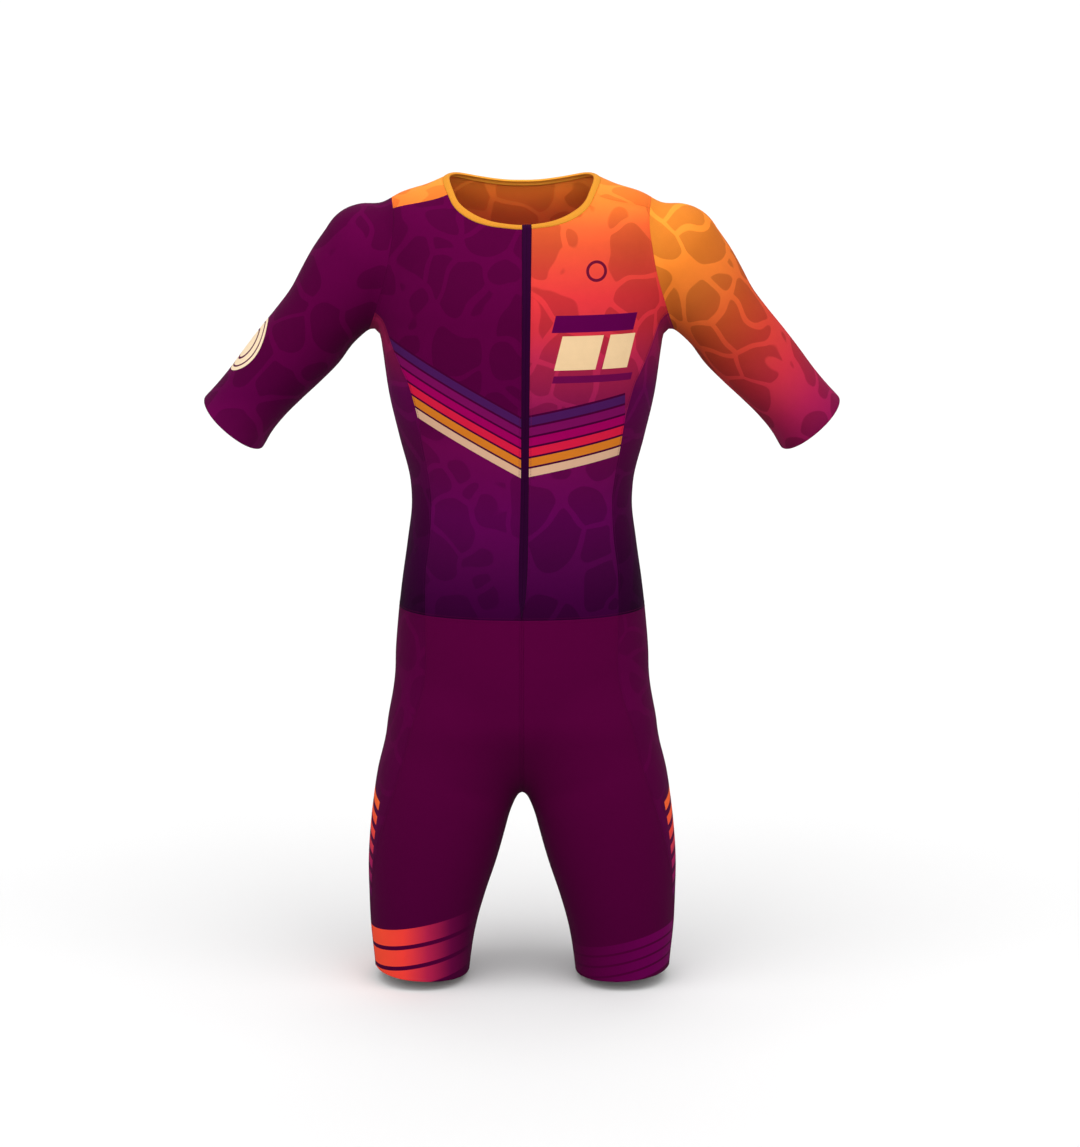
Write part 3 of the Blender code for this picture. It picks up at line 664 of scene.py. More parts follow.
    def _waist(self, first: float, last: float) -> Seam:
        """A part of the waist seam.

        Args:
            first: Its first plan angle, in degrees.
            last: Its last plan angle.

        Returns:
            The seam.
        """
        plan = np.radians(np.linspace(first, last, self.fine))
        directions = np.stack([np.cos(plan), np.sin(plan), np.zeros(self.fine)], axis=1)
        middle = np.array([0.0, 0.0, self.waist_height])
        return Seam(self.form, self.form.cast(middle, directions, self.body_reach))

    def _shoulder(self) -> Seam:
        """The forward shoulder seam, from the neck to the armhole.

        Returns:
            The seam.
        """
        start = self.neckline(np.array([self.shoulder_neck]))[0]
        end = self.armhole(np.array([self.shoulder_arm]))[0]
        part = np.linspace(0.0, 1.0, self.fine)[:, None]
        bow = BACKWARDS * self.shoulder_bow * 4.0 * part * (1.0 - part)
        seam = Seam(self.form, self.form.settle(start + (end - start) * part - bow, 12))
        self.pin(seam, start, end)
        return seam

    def zip_edge(self, side: float) -> Seam:
        """One edge of the zip from the waist up to the neckline.

        Args:
            side: 1 at the wearer's left and -1 at the right.

        Returns:
            The seam.
        """
        angles = np.linspace(*self.neck_front_angles, self.fine)
        top_across = self.zip_rows[-1, 1] + side * self.zip_rows[-1, 2]
        angle = np.interp(top_across, self.neckline(angles)[:, 0], angles)
        top = self.neckline(np.array([angle]))[0]
        heights = np.linspace(self.waist_height, top[2], self.fine)
        middle = column(self.zip_rows, 1, heights)
        half = column(self.zip_rows, 2, heights)
        starts = np.stack([middle + side * half, np.zeros(self.fine), heights], axis=1)
        seam = Seam(self.form, self.form.cast(starts, -BACKWARDS, self.body_reach))
        self.pin(seam, self.centre_front.end, top)
        return seam

    def neck_front(self, edge_top: np.ndarray) -> Seam:
        """Neckline from the top of a zip edge to the shoulder seam.

        Args:
            edge_top: The zip edge's last point.

        Returns:
            The seam.
        """
        angles = np.linspace(self.plan_angle(edge_top), self.shoulder_neck, self.fine)
        seam = Seam(self.form, self.neckline(angles))
        self.pin(seam, edge_top, self.shoulder.start)
        return seam

    def _hem_height(self, angles: np.ndarray) -> np.ndarray:
        """Heights of the leg hem at angles round the leg."""
        return self.hem_height + self.hem_tilt * np.cos(np.radians(angles))

    def _leg_middle(self, heights: np.ndarray) -> np.ndarray:
        """How far the leg's middle is from the centre line, at each height."""
        return column(self.form.leg.sections, 1, self.form.leg_height - heights)

    def _leg_points(self, angles: np.ndarray, heights: np.ndarray, reach: Value) -> np.ndarray:
        """Points round the left leg.

        Args:
            angles: Angles round the leg's middle, in degrees.
            heights: Heights of the points.
            reach: A length that is surely outside.

        Returns:
            One point for each angle.
        """
        turn = np.radians(angles)
        starts = np.stack([self._leg_middle(heights), np.zeros(len(heights)), heights], axis=1)
        directions = np.stack([np.cos(turn), np.sin(turn), np.zeros(len(heights))], axis=1)
        return self.form.cast(starts, directions, reach)

    def _outer(self, index: int, top: np.ndarray) -> Seam:
        """A seam beside the shorts' side panel, from the hem up to the waist.

        Args:
            index: Column of the shorts rows.
            top: The seam's last point.

        Returns:
            The seam.
        """
        low = float(self._hem_height(self.shorts_rows[0, index]))
        heights = np.linspace(low, self.waist_height, self.fine)
        middle = self._leg_middle(np.array([self.waist_height]))[0]
        angles = column(self.shorts_rows, index, heights)
        top_angle = np.degrees(np.arctan2(top[1], top[0] - middle))
        angles = angles + (top_angle - angles[-1]) * np.linspace(0.0, 1.0, self.fine) ** 3
        curve = self._leg_points(angles, heights, self.body_reach)
        curve[-1] = top
        return Seam(self.form, curve)

    def _centre(self, facing: float) -> Seam:
        """The centre seam of the shorts, from under the crotch up to the waist.

        Args:
            facing: -1 for the front and 1 for the back.

        Returns:
            The seam.
        """
        start = np.array([0.0, 0.0, self.waist_height])
        top = self.form.cast(start, BACKWARDS * facing, self.body_reach)[0]
        last = np.arctan2(top[2] - self.hip_height, abs(top[1]))
        turn = np.linspace(-np.pi / 2.0, last, self.fine)
        directions = np.stack([np.zeros(self.fine), facing * np.cos(turn), np.sin(turn)], axis=1)
        curve = self.form.cast(np.array([0.0, 0.0, self.hip_height]), directions, self.body_reach)
        curve[-1] = top
        return Seam(self.form, curve)

    def _inseam(self) -> Seam:
        """The inner leg seam, from the hem up to the crotch.

        Returns:
            The seam.
        """
        crotch = self.centre_front.start
        low = float(self._hem_height(np.array(180.0)))
        heights = np.linspace(low, crotch[2] - self.inseam_stop, self.fine)
        curve = self._leg_points(np.full(self.fine, 180.0), heights, self._leg_middle(heights))
        return Seam(self.form, np.vstack([curve, crotch]))

    def _hem(self, first: float, last: float) -> Seam:
        """A part of the left leg's hem.

        Args:
            first: Its first angle round the leg, in degrees.
            last: Its last angle.

        Returns:
            The hem line.
        """
        angles = np.linspace(first, last, self.fine)
        heights = self._hem_height(angles)
        return Seam(self.form, self._leg_points(angles, heights, self._leg_middle(heights)))


@dataclass(frozen=True)
class Crease:
    """One soft trough or ridge pressed into the cloth along a line."""

    start: Tuple[float, float, float]
    end: Tuple[float, float, float]
    width: float
    height: float

    def lift(self, points: np.ndarray) -> np.ndarray:
        """How far the crease lifts each point along its normal; negative is a trough.

        Args:
            points: Points of the cloth.

        Returns:
            One lift for each point.
        """
        start = np.array(self.start)
        line = np.array(self.end) - start
        share = (points - start) @ line / (line @ line)
        nearest = start + np.clip(share, 0.0, 1.0)[:, None] * line
        away = np.linalg.norm(points - nearest, axis=1) / self.width
        fade = np.clip(1.0 - np.abs(2.0 * share - 1.0) ** 2, 0.0, 1.0)
        return self.height * np.exp(-away * away) * fade


@dataclass(frozen=True)
class Creases:
    """The cloth's few creases, on both sides where they aren't shown."""

    lines: Tuple[Crease, ...]

    def lift(self, points: np.ndarray) -> np.ndarray:
        """Sum of all lifts at each point.

        Args:
            points: Points of the cloth.

        Returns:
            One lift for each point.
        """
        total = np.zeros(len(points))
        for line in self.lines:
            total += line.lift(points)
        return total


# start, end, width and height of each crease
CREASE_ROWS = (
    (0.176, -0.050, -0.165, 0.128, -0.092, -0.125, 0.0065, -0.0011),
    (0.178, -0.040, -0.182, 0.120, -0.098, -0.165, 0.0080, -0.0010),
    (0.168, -0.050, -0.195, 0.118, -0.094, -0.205, 0.0070, -0.0008),
    (-0.176, -0.048, -0.160, -0.132, -0.090, -0.118, 0.0060, -0.0010),
    (-0.178, -0.042, -0.178, -0.116, -0.098, -0.158, 0.0085, -0.0011),
    (-0.166, -0.050, -0.200, -0.122, -0.092, -0.214, 0.0070, -0.0008),
    (0.178, 0.050, -0.165, 0.122, 0.105, -0.128, 0.0075, -0.0011),
    (0.172, 0.055, -0.188, 0.112, 0.108, -0.182, 0.0080, -0.0009),
    (-0.178, 0.050, -0.168, -0.120, 0.106, -0.134, 0.0075, -0.0011),
    (-0.170, 0.055, -0.192, -0.116, 0.106, -0.192, 0.0080, -0.0009),
    (0.130, -0.030, -0.352, 0.080, -0.090, -0.362, 0.0070, -0.0007),
    (0.130, 0.020, -0.378, 0.060, 0.078, -0.372, 0.0090, -0.0012),
    (-0.130, -0.030, -0.360, -0.076, -0.090, -0.374, 0.0070, -0.0007),
    (-0.130, 0.020, -0.386, -0.062, 0.078, -0.384, 0.0090, -0.0012),
    (0.060, 0.072, -0.352, -0.050, 0.074, -0.348, 0.0090, -0.0010),
    (0.012, -0.060, -0.724, 0.092, -0.098, -0.678, 0.0085, -0.0009),
    (-0.012, -0.060, -0.724, -0.096, -0.098, -0.684, 0.0085, -0.0009),
    (0.014, 0.070, -0.722, 0.120, 0.106, -0.706, 0.0100, -0.0016),
    (-0.014, 0.070, -0.722, -0.116, 0.108, -0.710, 0.0100, -0.0016),
    (0.228, -0.036, -0.126, 0.196, -0.052, -0.166, 0.0080, -0.0008),
    (-0.226, -0.036, -0.130, -0.198, -0.052, -0.172, 0.0080, -0.0008),
)
SUIT_CREASES = Creases(tuple(Crease(row[:3], row[3:6], *row[6:]) for row in CREASE_ROWS))


class Surface:
    """A grid of points on the form between four edges; rows run up, columns from left to right."""

    def __init__(self, form: Form, points: np.ndarray) -> None:
        """Keep the grid.

        Args:
            form: The form that the points lie on.
            points: Rows of columns of points.
        """
        self.form = form
        self.points = points

    @classmethod
    def between(
        cls,
        form: Form,
        across: Division,
        up: Division,
        bottom: Edge,
        top: Edge,
        left: Edge,
        right: Edge,
    ) -> "Surface":
        """A fine grid between four edges, laid out on a coarse one first.

        Args:
            form: The form that the panel lies on.
            across: Division of the bottom and top edges.
            up: Division of the left and right edges.
            bottom: Gives the bottom edge's points, fine ones when told so.
            top: Gives the top edge's points.
            left: Gives the left edge's points.
            right: Gives the right edge's points.

        Returns:
            The panel's surface.
        """
        coarse = cls._coons(bottom(False), top(False), left(False), right(False))
        coarse = cls._even_out(form, coarse)
        rows, columns = up.places(), across.places()
        grid = cls._finer(coarse, rows, columns)
        low, high, near, far = bottom(True), top(True), left(True), right(True)
        part_up = (rows / up.total)[:, None, None]
        part_across = (columns / across.total)[None, :, None]
        grid = grid + (1.0 - part_up) * (low - grid[0])[None] + part_up * (high - grid[-1])[None]
        grid = grid + (1.0 - part_across) * (near - grid[:, 0])[:, None]
        grid = grid + part_across * (far - grid[:, -1])[:, None]
        grid[1:-1, 1:-1] = form.settle(grid[1:-1, 1:-1])
        grid[0], grid[-1], grid[:, 0], grid[:, -1] = low, high, near, far
        return cls(form, grid)

    @staticmethod
    def _coons(bottom: np.ndarray, top: np.ndarray, left: np.ndarray, right: np.ndarray) -> np.ndarray:
        """A grid of straight blends between four edges.

        Args:
            bottom: Points of the first row.
            top: Points of the last row.
            left: Points of the first column.
            right: Points of the last column.

        Returns:
            Rows of columns of points.
        """
        across = np.linspace(0.0, 1.0, len(bottom))[None, :, None]
        up = np.linspace(0.0, 1.0, len(left))[:, None, None]
        rows = (1.0 - up) * bottom[None] + up * top[None]
        columns = (1.0 - across) * left[:, None] + across * right[:, None]
        low = (1.0 - across) * bottom[0] + across * bottom[-1]
        high = (1.0 - across) * top[0] + across * top[-1]
        grid = rows + columns - (1.0 - up) * low - up * high
        grid[0], grid[-1], grid[:, 0], grid[:, -1] = bottom, top, left, right
        return grid

    @staticmethod
    def _even_out(form: Form, grid: np.ndarray, rounds: int = 3) -> np.ndarray:
        """The coarse grid on the form, with its inner points spread evenly.

        Args:
            form: The form.
            grid: The coarse grid.
            rounds: How often it is evened.

        Returns:
            The grid.
        """
        shares = np.linspace(0.0, 1.0, grid.shape[0])
        grid[1:-1, 1:-1] = form.settle(grid[1:-1, 1:-1], 12)
        for _ in range(rounds):
            for index in range(1, grid.shape[1] - 1):
                grid[:, index] = resample(grid[:, index], shares)
            inner = grid[1:-1, 1:-1] / 2.0 + (grid[1:-1, 2:] + grid[1:-1, :-2]) / 4.0
            grid[1:-1, 1:-1] = form.settle(inner, 3)
        return grid

    @staticmethod
    def _finer(coarse: np.ndarray, rows: np.ndarray, columns: np.ndarray) -> np.ndarray:
        """The coarse grid read at fine places, on smooth curves.

        Args:
            coarse: The coarse grid.
            rows: Fine places up the grid.
            columns: Fine places across it.

        Returns:
            The fine grid.
        """
        height, width = coarse.shape[:2]
        keys = np.arange(height, dtype=float)
        grid = smooth_rows(keys, coarse.reshape(height, -1), rows).reshape(len(rows), width, 3)
        grid = grid.transpose(1, 0, 2).reshape(width, -1)
        keys = np.arange(width, dtype=float)
        return smooth_rows(keys, grid, columns).reshape(len(columns), len(rows), 3).transpose(1, 0, 2)

    def mirrored(self) -> "Surface":
        """The right-hand surface that mirrors a left-hand one."""
        return Surface(self.form, (self.points * MIRROR)[:, ::-1])


@dataclass(frozen=True)
class FlatCut:
    """The flat size that a piece is cut to: width and length of its box, and its own area."""

    width: float
    length: float
    area: float


@dataclass
class Shell:
    """A closed thin cloth shell on a surface, with its edges rolled in at the seams."""

    name: str
    surface: Surface
    wall: float = 0.0012
    wraps: bool = False
    raises: float = 0.0
    half_gap: float = 0.00007
    rim_reach: float = 0.9
    roll: Tuple[float, ...] = (0.00007, 0.00002)
    lifts: Optional[np.ndarray] = None
    creases: Creases = SUIT_CREASES

    def loops(self) -> List[np.ndarray]:
        """Closed lines of grid places round the edge, each with the cloth on its left.

        Returns:
            The lines.
        """
        rows, columns = self.surface.points.shape[:2]
        places = np.arange(rows * columns).reshape(rows, columns)
        if self.wraps:
            return [places[0], places[-1][::-1]]
        return [np.concatenate([places[0, :-1], places[:-1, -1], places[-1, :0:-1], places[:0:-1, 0]])]

    def build(self) -> bpy.types.Object:
        """Make the mesh object with its cloth map and its inner mark.

        Returns:
            The object, linked to the scene.
        """
        rows, columns = self.surface.points.shape[:2]
        grid = self.surface.points.reshape(-1, 3).copy()
        seam_line = grid.copy()
        for loop in self.loops():
            grid[loop] += self._inward(grid[loop]) * self.half_gap
        normals = self.surface.form.normal(grid)
        lift = self._edge_roll(rows, columns) + self.raises + self.creases.lift(grid)
        if self.lifts is not None:
            lift = lift + np.broadcast_to(self.lifts, (rows, columns)).ravel()
        outer = grid + normals * lift[:, None]
        inner = outer - normals * self.wall
        count = rows * columns
        vertices = [outer, inner]
        faces = self._faces(rows, columns)
        all_faces = faces + [tuple(corner + count for corner in reversed(face)) for face in faces]
        inner_mark = [np.zeros(count), np.ones(count)]
        start = 2 * count
        rim = {}
        for loop in self.loops():
            middle = (outer[loop] + inner[loop]) / 2.0 + (seam_line[loop] - grid[loop]) * self.rim_reach
            vertices.append(middle)
            inner_mark.append(np.full(len(loop), 0.5))
            for step, place in enumerate(loop):
                after = (step + 1) % len(loop)
                a, b = int(place), int(loop[after])
                m, n = start + step, start + after
                all_faces += [(b, a, m, n), (n, m, a + count, b + count)]
                rim[m] = a
                rim[n] = b
            start += len(loop)
        made = self._object(np.vstack(vertices), all_faces, np.concatenate(inner_mark))
        self._map(made, rows, columns, count, rim)
        return made

    def _inward(self, loop: np.ndarray, least_mitre: float = 0.3) -> np.ndarray:
        """Directions from the edge into the cloth, longer at corners.

        Args:
            loop: Points of a closed edge line.
            least_mitre: Keeps sharp corners from growing too long.

        Returns:
            One direction for each point.
        """
        normals = self.surface.form.normal(loop)
        ahead = unit(np.cross(normals, np.roll(loop, -1, axis=0) - loop))
        behind = np.roll(ahead, 1, axis=0)
        share = 1.0 + np.sum(ahead * behind, axis=1, keepdims=True)
        return (ahead + behind) / np.maximum(share, least_mitre)

    def _edge_roll(self, rows: int, columns: int) -> np.ndarray:
        """How far the cloth dips beside its edges.

        Args:
            rows: Rows of the grid.
            columns: Columns of the grid.

        Returns:
            One lift for each grid place.
        """
        row = np.minimum(np.arange(rows), np.arange(rows)[::-1])[:, None]
        across = np.minimum(np.arange(columns), np.arange(columns)[::-1])[None, :]
        nearest = np.broadcast_to(row, (rows, columns)) if self.wraps else np.minimum(row, across)
        dips = np.zeros((rows, columns))
        for step, depth in enumerate(self.roll):
            dips = np.where(nearest == step, -depth, dips)
        return dips.ravel()

    def _faces(self, rows: int, columns: int) -> List[Tuple[int, ...]]:
        """The four-sided faces of one side of the cloth.

        Args:
            rows: Rows of the grid.
            columns: Columns of the grid.

        Returns:
            The corners of each face.
        """
        faces = []
        for row in range(rows - 1):
            for across in range(columns if self.wraps else columns - 1):
                beside = (across + 1) % columns
                low, high = row * columns, (row + 1) * columns
                faces.append((low + across, low + beside, high + beside, high + across))
        return faces

    def _object(
        self, vertices: np.ndarray, faces: List[Tuple[int, ...]], inner: np.ndarray
    ) -> bpy.types.Object:
        """Make the mesh object and mark its inner side.

        Args:
            vertices: The points.
            faces: The corners of each face.
            inner: 0 outside, 1 inside and a half on the rim, for each point.

        Returns:
            The object, linked to the scene.
        """
        mesh = bpy.data.meshes.new(self.name)
        mesh.from_pydata(vertices.tolist(), [], faces)
        mesh.shade_smooth()
        mark = mesh.attributes.new(INNER_NAME, "FLOAT", "POINT")
        mark.data.foreach_set("value", inner.astype(np.float32))
        made = bpy.data.objects.new(self.name, mesh)
        bpy.context.scene.collection.objects.link(made)
        return made

    def _map(
        self, made: bpy.types.Object, rows: int, columns: int, count: int, rim: Dict[int, int]
    ) -> None:
        """Lay the cloth map, in metres along the cloth.

        Args:
            made: The mesh object.
            rows: Rows of the grid.
            columns: Columns of the grid.
            count: Grid places on one side.
            rim: The grid place beside each point of the rim.
        """
        points = self.surface.points
        if self.wraps:
            points = np.concatenate([points, points[:, :1]], axis=1)
        across = np.linalg.norm(np.diff(points, axis=1), axis=2)
        along = np.linalg.norm(np.diff(points, axis=0), axis=2)
        u = np.concatenate([np.zeros((rows, 1)), np.cumsum(across, axis=1)], axis=1)
        v = np.concatenate([np.zeros((1, points.shape[1])), np.cumsum(along, axis=0)], axis=0)
        u = u - u[:, -1:] / 2.0
        layer = made.data.uv_layers.new(name=UV_NAME)
        corners = np.zeros(len(made.data.loops), dtype=np.int64)
        made.data.loops.foreach_get("vertex_index", corners)
        place = corners.copy()
        for rim_vertex, vertex in rim.items():
            place[corners == rim_vertex] = vertex
        place = np.where(place >= count, place - count, place)
        row, col = place // columns, place % columns
        if self.wraps:
            sizes = np.array([len(face.vertices) for face in made.data.polygons])
            owner = np.repeat(np.arange(len(sizes)), sizes)
            widest = np.zeros(len(sizes), dtype=np.int64)
            np.maximum.at(widest, owner, col)
            col = np.where((col == 0) & (widest[owner] == columns - 1), columns, col)
        layer.data.foreach_set("uv", np.stack([u[row, col], v[row, col]], axis=1).ravel())


class Tree:
    """A small hand for building node trees."""

    def __init__(self, tree: bpy.types.NodeTree) -> None:
        """Keep the tree."""
        self.tree = tree

    def add(self, kind: str, values: Optional[Dict] = None, **settings: object) -> bpy.types.Node:
        """Add a node.

        Args:
            kind: The node's type.
            values: Socket name or number to a value or to another node's output.
            settings: The node's own settings.

        Returns:
            The node.
        """
        node = self.tree.nodes.new(kind)
        for key, setting in settings.items():
            setattr(node, key, setting)
        for key, value in (values or {}).items():
            self.feed(node.inputs[key], value)
        return node

    def feed(self, socket: Socket, value: Value) -> None:
        """Link an output to a socket, or set the socket's own value.

        Args:
            socket: The socket.
            value: An output or a value.
        """
        if isinstance(value, bpy.types.NodeSocket):
            self.tree.links.new(value, socket)
        else:
            socket.default_value = value

    def math(self, operation: str, *values: Value) -> Socket:
        """The output of a Math node."""
        return self.add("ShaderNodeMath", dict(enumerate(values)), operation=operation).outputs[0]

    def vector(self, operation: str, *values: Value) -> Socket:
        """The output of a Vector Math node; its number for a distance or dot product."""
        node = self.add("ShaderNodeVectorMath", dict(enumerate(values)), operation=operation)
        return node.outputs[1 if operation in ("DOT_PRODUCT", "DISTANCE") else 0]

    def scaled(self, vector: Value, factor: Value) -> Socket:
        """A vector times a number."""
        return self.add("ShaderNodeVectorMath", {0: vector, 3: factor}, operation="SCALE").outputs[0]

    def near(self, value: Value, middle: Value, reach: Value) -> Socket:
        """1 where a value is within reach of the middle, and 0 elsewhere."""
        away = self.math("ABSOLUTE", self.math("SUBTRACT", value, middle))
        return self.math("LESS_THAN", away, reach)

    def ease(self, value: Value, low: Value, high: Value) -> Socket:
        """A smooth step from 0 at low to 1 at high."""
        inputs = {0: value, 1: low, 2: high}
        return self.add("ShaderNodeMapRange", inputs, interpolation_type="SMOOTHSTEP", clamp=True).outputs[0]

    def mix(self, factor: Value, first: Value, second: Value) -> Socket:
        """Two colours mixed."""
        return self.add("ShaderNodeMix", {0: factor, 6: first, 7: second}, data_type="RGBA").outputs[2]

    def group(self, group: bpy.types.NodeTree, values: Dict[str, Value]) -> bpy.types.bpy_prop_collection:
        """The outputs of a group node, with its named inputs set."""
        return self.add("ShaderNodeGroup", values, node_tree=group).outputs

    def ramp(self, value: Value, stops: Stops, steps: bool = False) -> Socket:
        """A colour ramp.

        Args:
            value: What the ramp reads.
            stops: Place and colour of each stop.
            steps: True for hard steps.

        Returns:
            The colour.
        """
        node = self.add("ShaderNodeValToRGB", {0: value})
        ramp = node.color_ramp
        ramp.interpolation = "CONSTANT" if steps else "EASE" if len(stops) == 2 else "LINEAR"
        while len(ramp.elements) < len(stops):
            ramp.elements.new(0.5)
        for element, (place, _) in zip(ramp.elements, stops):
            element.position = place
        for element, (_, colour) in zip(ramp.elements, stops):
            element.color = linear(colour)
        return node.outputs[0]

    def split(self, vector: Value) -> Tuple[Socket, Socket, Socket]:
        """The three parts of a vector."""
        outputs = self.add("ShaderNodeSeparateXYZ", {0: vector}).outputs
        return outputs[0], outputs[1], outputs[2]


def new_material(name: str) -> Tuple[bpy.types.Material, Tree, bpy.types.bpy_prop_collection]:
    """Start a material.

    Args:
        name: The material's name.

    Returns:
        The material, its tree and its shader's sockets.
    """
    made = bpy.data.materials.new(name)
    made.use_nodes = True
    return made, Tree(made.node_tree), made.node_tree.nodes["Principled BSDF"].inputs


def linear(colour: str) -> Tuple[float, float, float, float]:
    """A screen colour as linear light.

    Args:
        colour: The colour, such as #FF8800.

    Returns:
        Red, green, blue and an opacity of 1.
    """
    parts = [int(colour[start:start + 2], 16) / 255.0 for start in (1, 3, 5)]
    light = [part / 12.92 if part <= 0.04045 else ((part + 0.055) / 1.055) ** 2.4 for part in parts]
    return light[0], light[1], light[2], 1.0


class Effects:
    """The shared shader node groups: knit, grain, pebble print, slanted bands and plain block."""

    loop_depth: float = 0.3
    grain_detail: float = 3.0
    grain_roughness: float = 0.6
    warp_scale: float = 14.0
    warp_reach: float = 0.055
    randomness: float = 0.95
    corner_reach: float = 0.72
    corner_weight: float = 0.75
    rounding: float = 0.08
    edge_blur: float = 0.010

    def __init__(self) -> None:
        """Build each group once."""
        self.knit = self._knit()
        self.grain = self._grain()
        self.pebbles = self._pebbles()
        self.bands = self._bands()
        self.block = self._block()

    @staticmethod
    def _new(name: str, inputs: Dict[str, Value], outputs: Sequence[str]) -> Tuple:
        """Start a node group.

        Args:
            name: The group's name.
            inputs: First value of each input.
            outputs: The outputs, which are numbers.

        Returns:
            The group, its tree, the sockets it is given and the sockets of its result.
        """
        group = bpy.data.node_groups.new(name, "ShaderNodeTree")
        for label, value in inputs.items():
            kind = "NodeSocketFloat" if isinstance(value, float) else "NodeSocketVector"
            group.interface.new_socket(label, in_out="INPUT", socket_type=kind).default_value = value
        for label in outputs:
            group.interface.new_socket(label, in_out="OUTPUT", socket_type="NodeSocketFloat")
        tree = Tree(group)
        given = tree.add("NodeGroupInput").outputs
        return group, tree, given, tree.add("NodeGroupOutput").inputs

    def _knit(self) -> bpy.types.NodeTree:
        """Fine ribs of loops, in the cloth's own map.

        Returns:
            The group.
        """
        inputs = {"Cloth": ORIGIN, "Wales": 900.0, "Courses": 700.0}
        group, tree, given, result = self._new("Fine knit", inputs, ["Height"])
        u, v, _ = tree.split(given["Cloth"])
        wale = tree.math("FRACT", tree.math("MULTIPLY", u, given["Wales"]))
        side = tree.math("ABSOLUTE", tree.math("SUBTRACT", wale, 0.5))
        ridge = tree.math("SINE", tree.math("MULTIPLY", wale, math.pi))
        slant = tree.math("ADD", tree.math("MULTIPLY", v, given["Courses"]), side)
        loop = tree.math("SINE", tree.math("MULTIPLY", slant, 2.0 * math.pi))
        loop = tree.math("MULTIPLY_ADD", loop, self.loop_depth, 1.0 - self.loop_depth)
        tree.feed(result["Height"], tree.math("MULTIPLY", ridge, loop))
        return group

    def _grain(self) -> bpy.types.NodeTree:
        """A value that wavers a little about one.

        Returns:
            The group.
        """
        inputs = {"Place": ORIGIN, "Scale": 60.0, "Amount": 0.1}
        group, tree, given, result = self._new("Uneven cloth", inputs, ["Value"])
        values = {"Vector": given["Place"], "Scale": given["Scale"]}
        values.update({"Detail": self.grain_detail, "Roughness": self.grain_roughness})
        noise = tree.add("ShaderNodeTexNoise", values).outputs[0]
        swing = tree.math("MULTIPLY", tree.math("SUBTRACT", noise, 0.5), given["Amount"])
        tree.feed(result["Value"], tree.math("ADD", swing, 1.0))
        return group

    def _pebbles(self) -> bpy.types.NodeTree:
        """Channels between rounded pebbles.

        Returns:
            The group.
        """
        inputs = {"Place": ORIGIN, "Size": 0.05, "Channel": 0.10, "Shift": ORIGIN}
        group, tree, given, result = self._new("Pebble print", inputs, ["Channel"])
        place = tree.vector("ADD", given["Place"], given["Shift"])
        noise = {"Vector": place, "Scale": self.warp_scale, "Detail": 1.0}
        warp = tree.add("ShaderNodeTexNoise", noise).outputs[1]
        warp = tree.vector("SUBTRACT", warp, (0.5, 0.5, 0.5))
        place = tree.vector("ADD", place, tree.scaled(warp, self.warp_reach))
        scale = tree.math("DIVIDE", 1.0, given["Size"])
        cell = {"Vector": place, "Scale": scale, "Randomness": self.randomness}
        edge = tree.add("ShaderNodeTexVoronoi", cell, feature="DISTANCE_TO_EDGE").outputs[0]
        reach = tree.add("ShaderNodeTexVoronoi", cell, feature="F1").outputs[0]
        corner = tree.math("SUBTRACT", self.corner_reach, reach)
        corner = tree.math("MULTIPLY", corner, self.corner_weight)
        inside = tree.math("SMOOTH_MIN", edge, corner, self.rounding)
        low = tree.math("SUBTRACT", given["Channel"], self.edge_blur)
        high = tree.math("ADD", given["Channel"], self.edge_blur)
        channel = tree.math("SUBTRACT", 1.0, tree.ease(inside, low, high))
        tree.feed(result["Channel"], channel)
        return group

    def _bands(self) -> bpy.types.NodeTree:
        """Slanted bands below a line.

        Returns:
            The group.
        """
        inputs = {"Run": 0.0, "Rise": 0.0, "Start": 0.0, "Slope": 0.0}
        inputs.update({"Pitch": 0.01, "Count": 6.0, "Gap": 0.2})
        outputs = ["Share", "Band", "Whole"]
        group, tree, given, result = self._new("Slanted bands", inputs, outputs)
        line = tree.math("MULTIPLY_ADD", given["Run"], given["Slope"], given["Start"])
        number = tree.math("DIVIDE", tree.math("SUBTRACT", line, given["Rise"]), given["Pitch"])
        over = tree.math("GREATER_THAN", number, 0.0)
        under = tree.math("LESS_THAN", number, given["Count"])
        whole = tree.math("MULTIPLY", over, under)
        part = tree.math("FRACT", number)
        lower = tree.math("GREATER_THAN", part, given["Gap"])
        tree.feed(result["Share"], tree.math("DIVIDE", number, given["Count"]))
        tree.feed(result["Band"], tree.math("MULTIPLY", whole, lower))
        tree.feed(result["Whole"], whole)
        return group

    def _block(self) -> bpy.types.NodeTree:
        """One leaning block.

        Returns:
            The group.
        """
        inputs = {
            "Run": 0.0,
            "Rise": 0.0,
            "Middle run": 0.0,
            "Middle rise": 0.0,
            "Half width": 0.01,
            "Half height": 0.01,
            "Lean": 0.0,
        }
        group, tree, given, result = self._new("Plain block", inputs, ["Mask"])
        rise = tree.math("SUBTRACT", given["Rise"], given["Middle rise"])
        run = tree.math("SUBTRACT", given["Run"], given["Middle run"])
        wide = tree.near(run, tree.math("MULTIPLY", rise, given["Lean"]), given["Half width"])
        high = tree.near(given["Rise"], given["Middle rise"], given["Half height"])
        tree.feed(result["Mask"], tree.math("MULTIPLY", wide, high))
        return group


class Artwork(Enum):
    """What is printed on a panel besides its ground colour."""

    CHEST_RIGHT = "chest right"
    CHEST_LEFT = "chest left"
    BADGE = "badge"
    LADDER = "ladder"
    WARM_HEM = "warm hem"
    TONAL_HEM = "tonal hem"


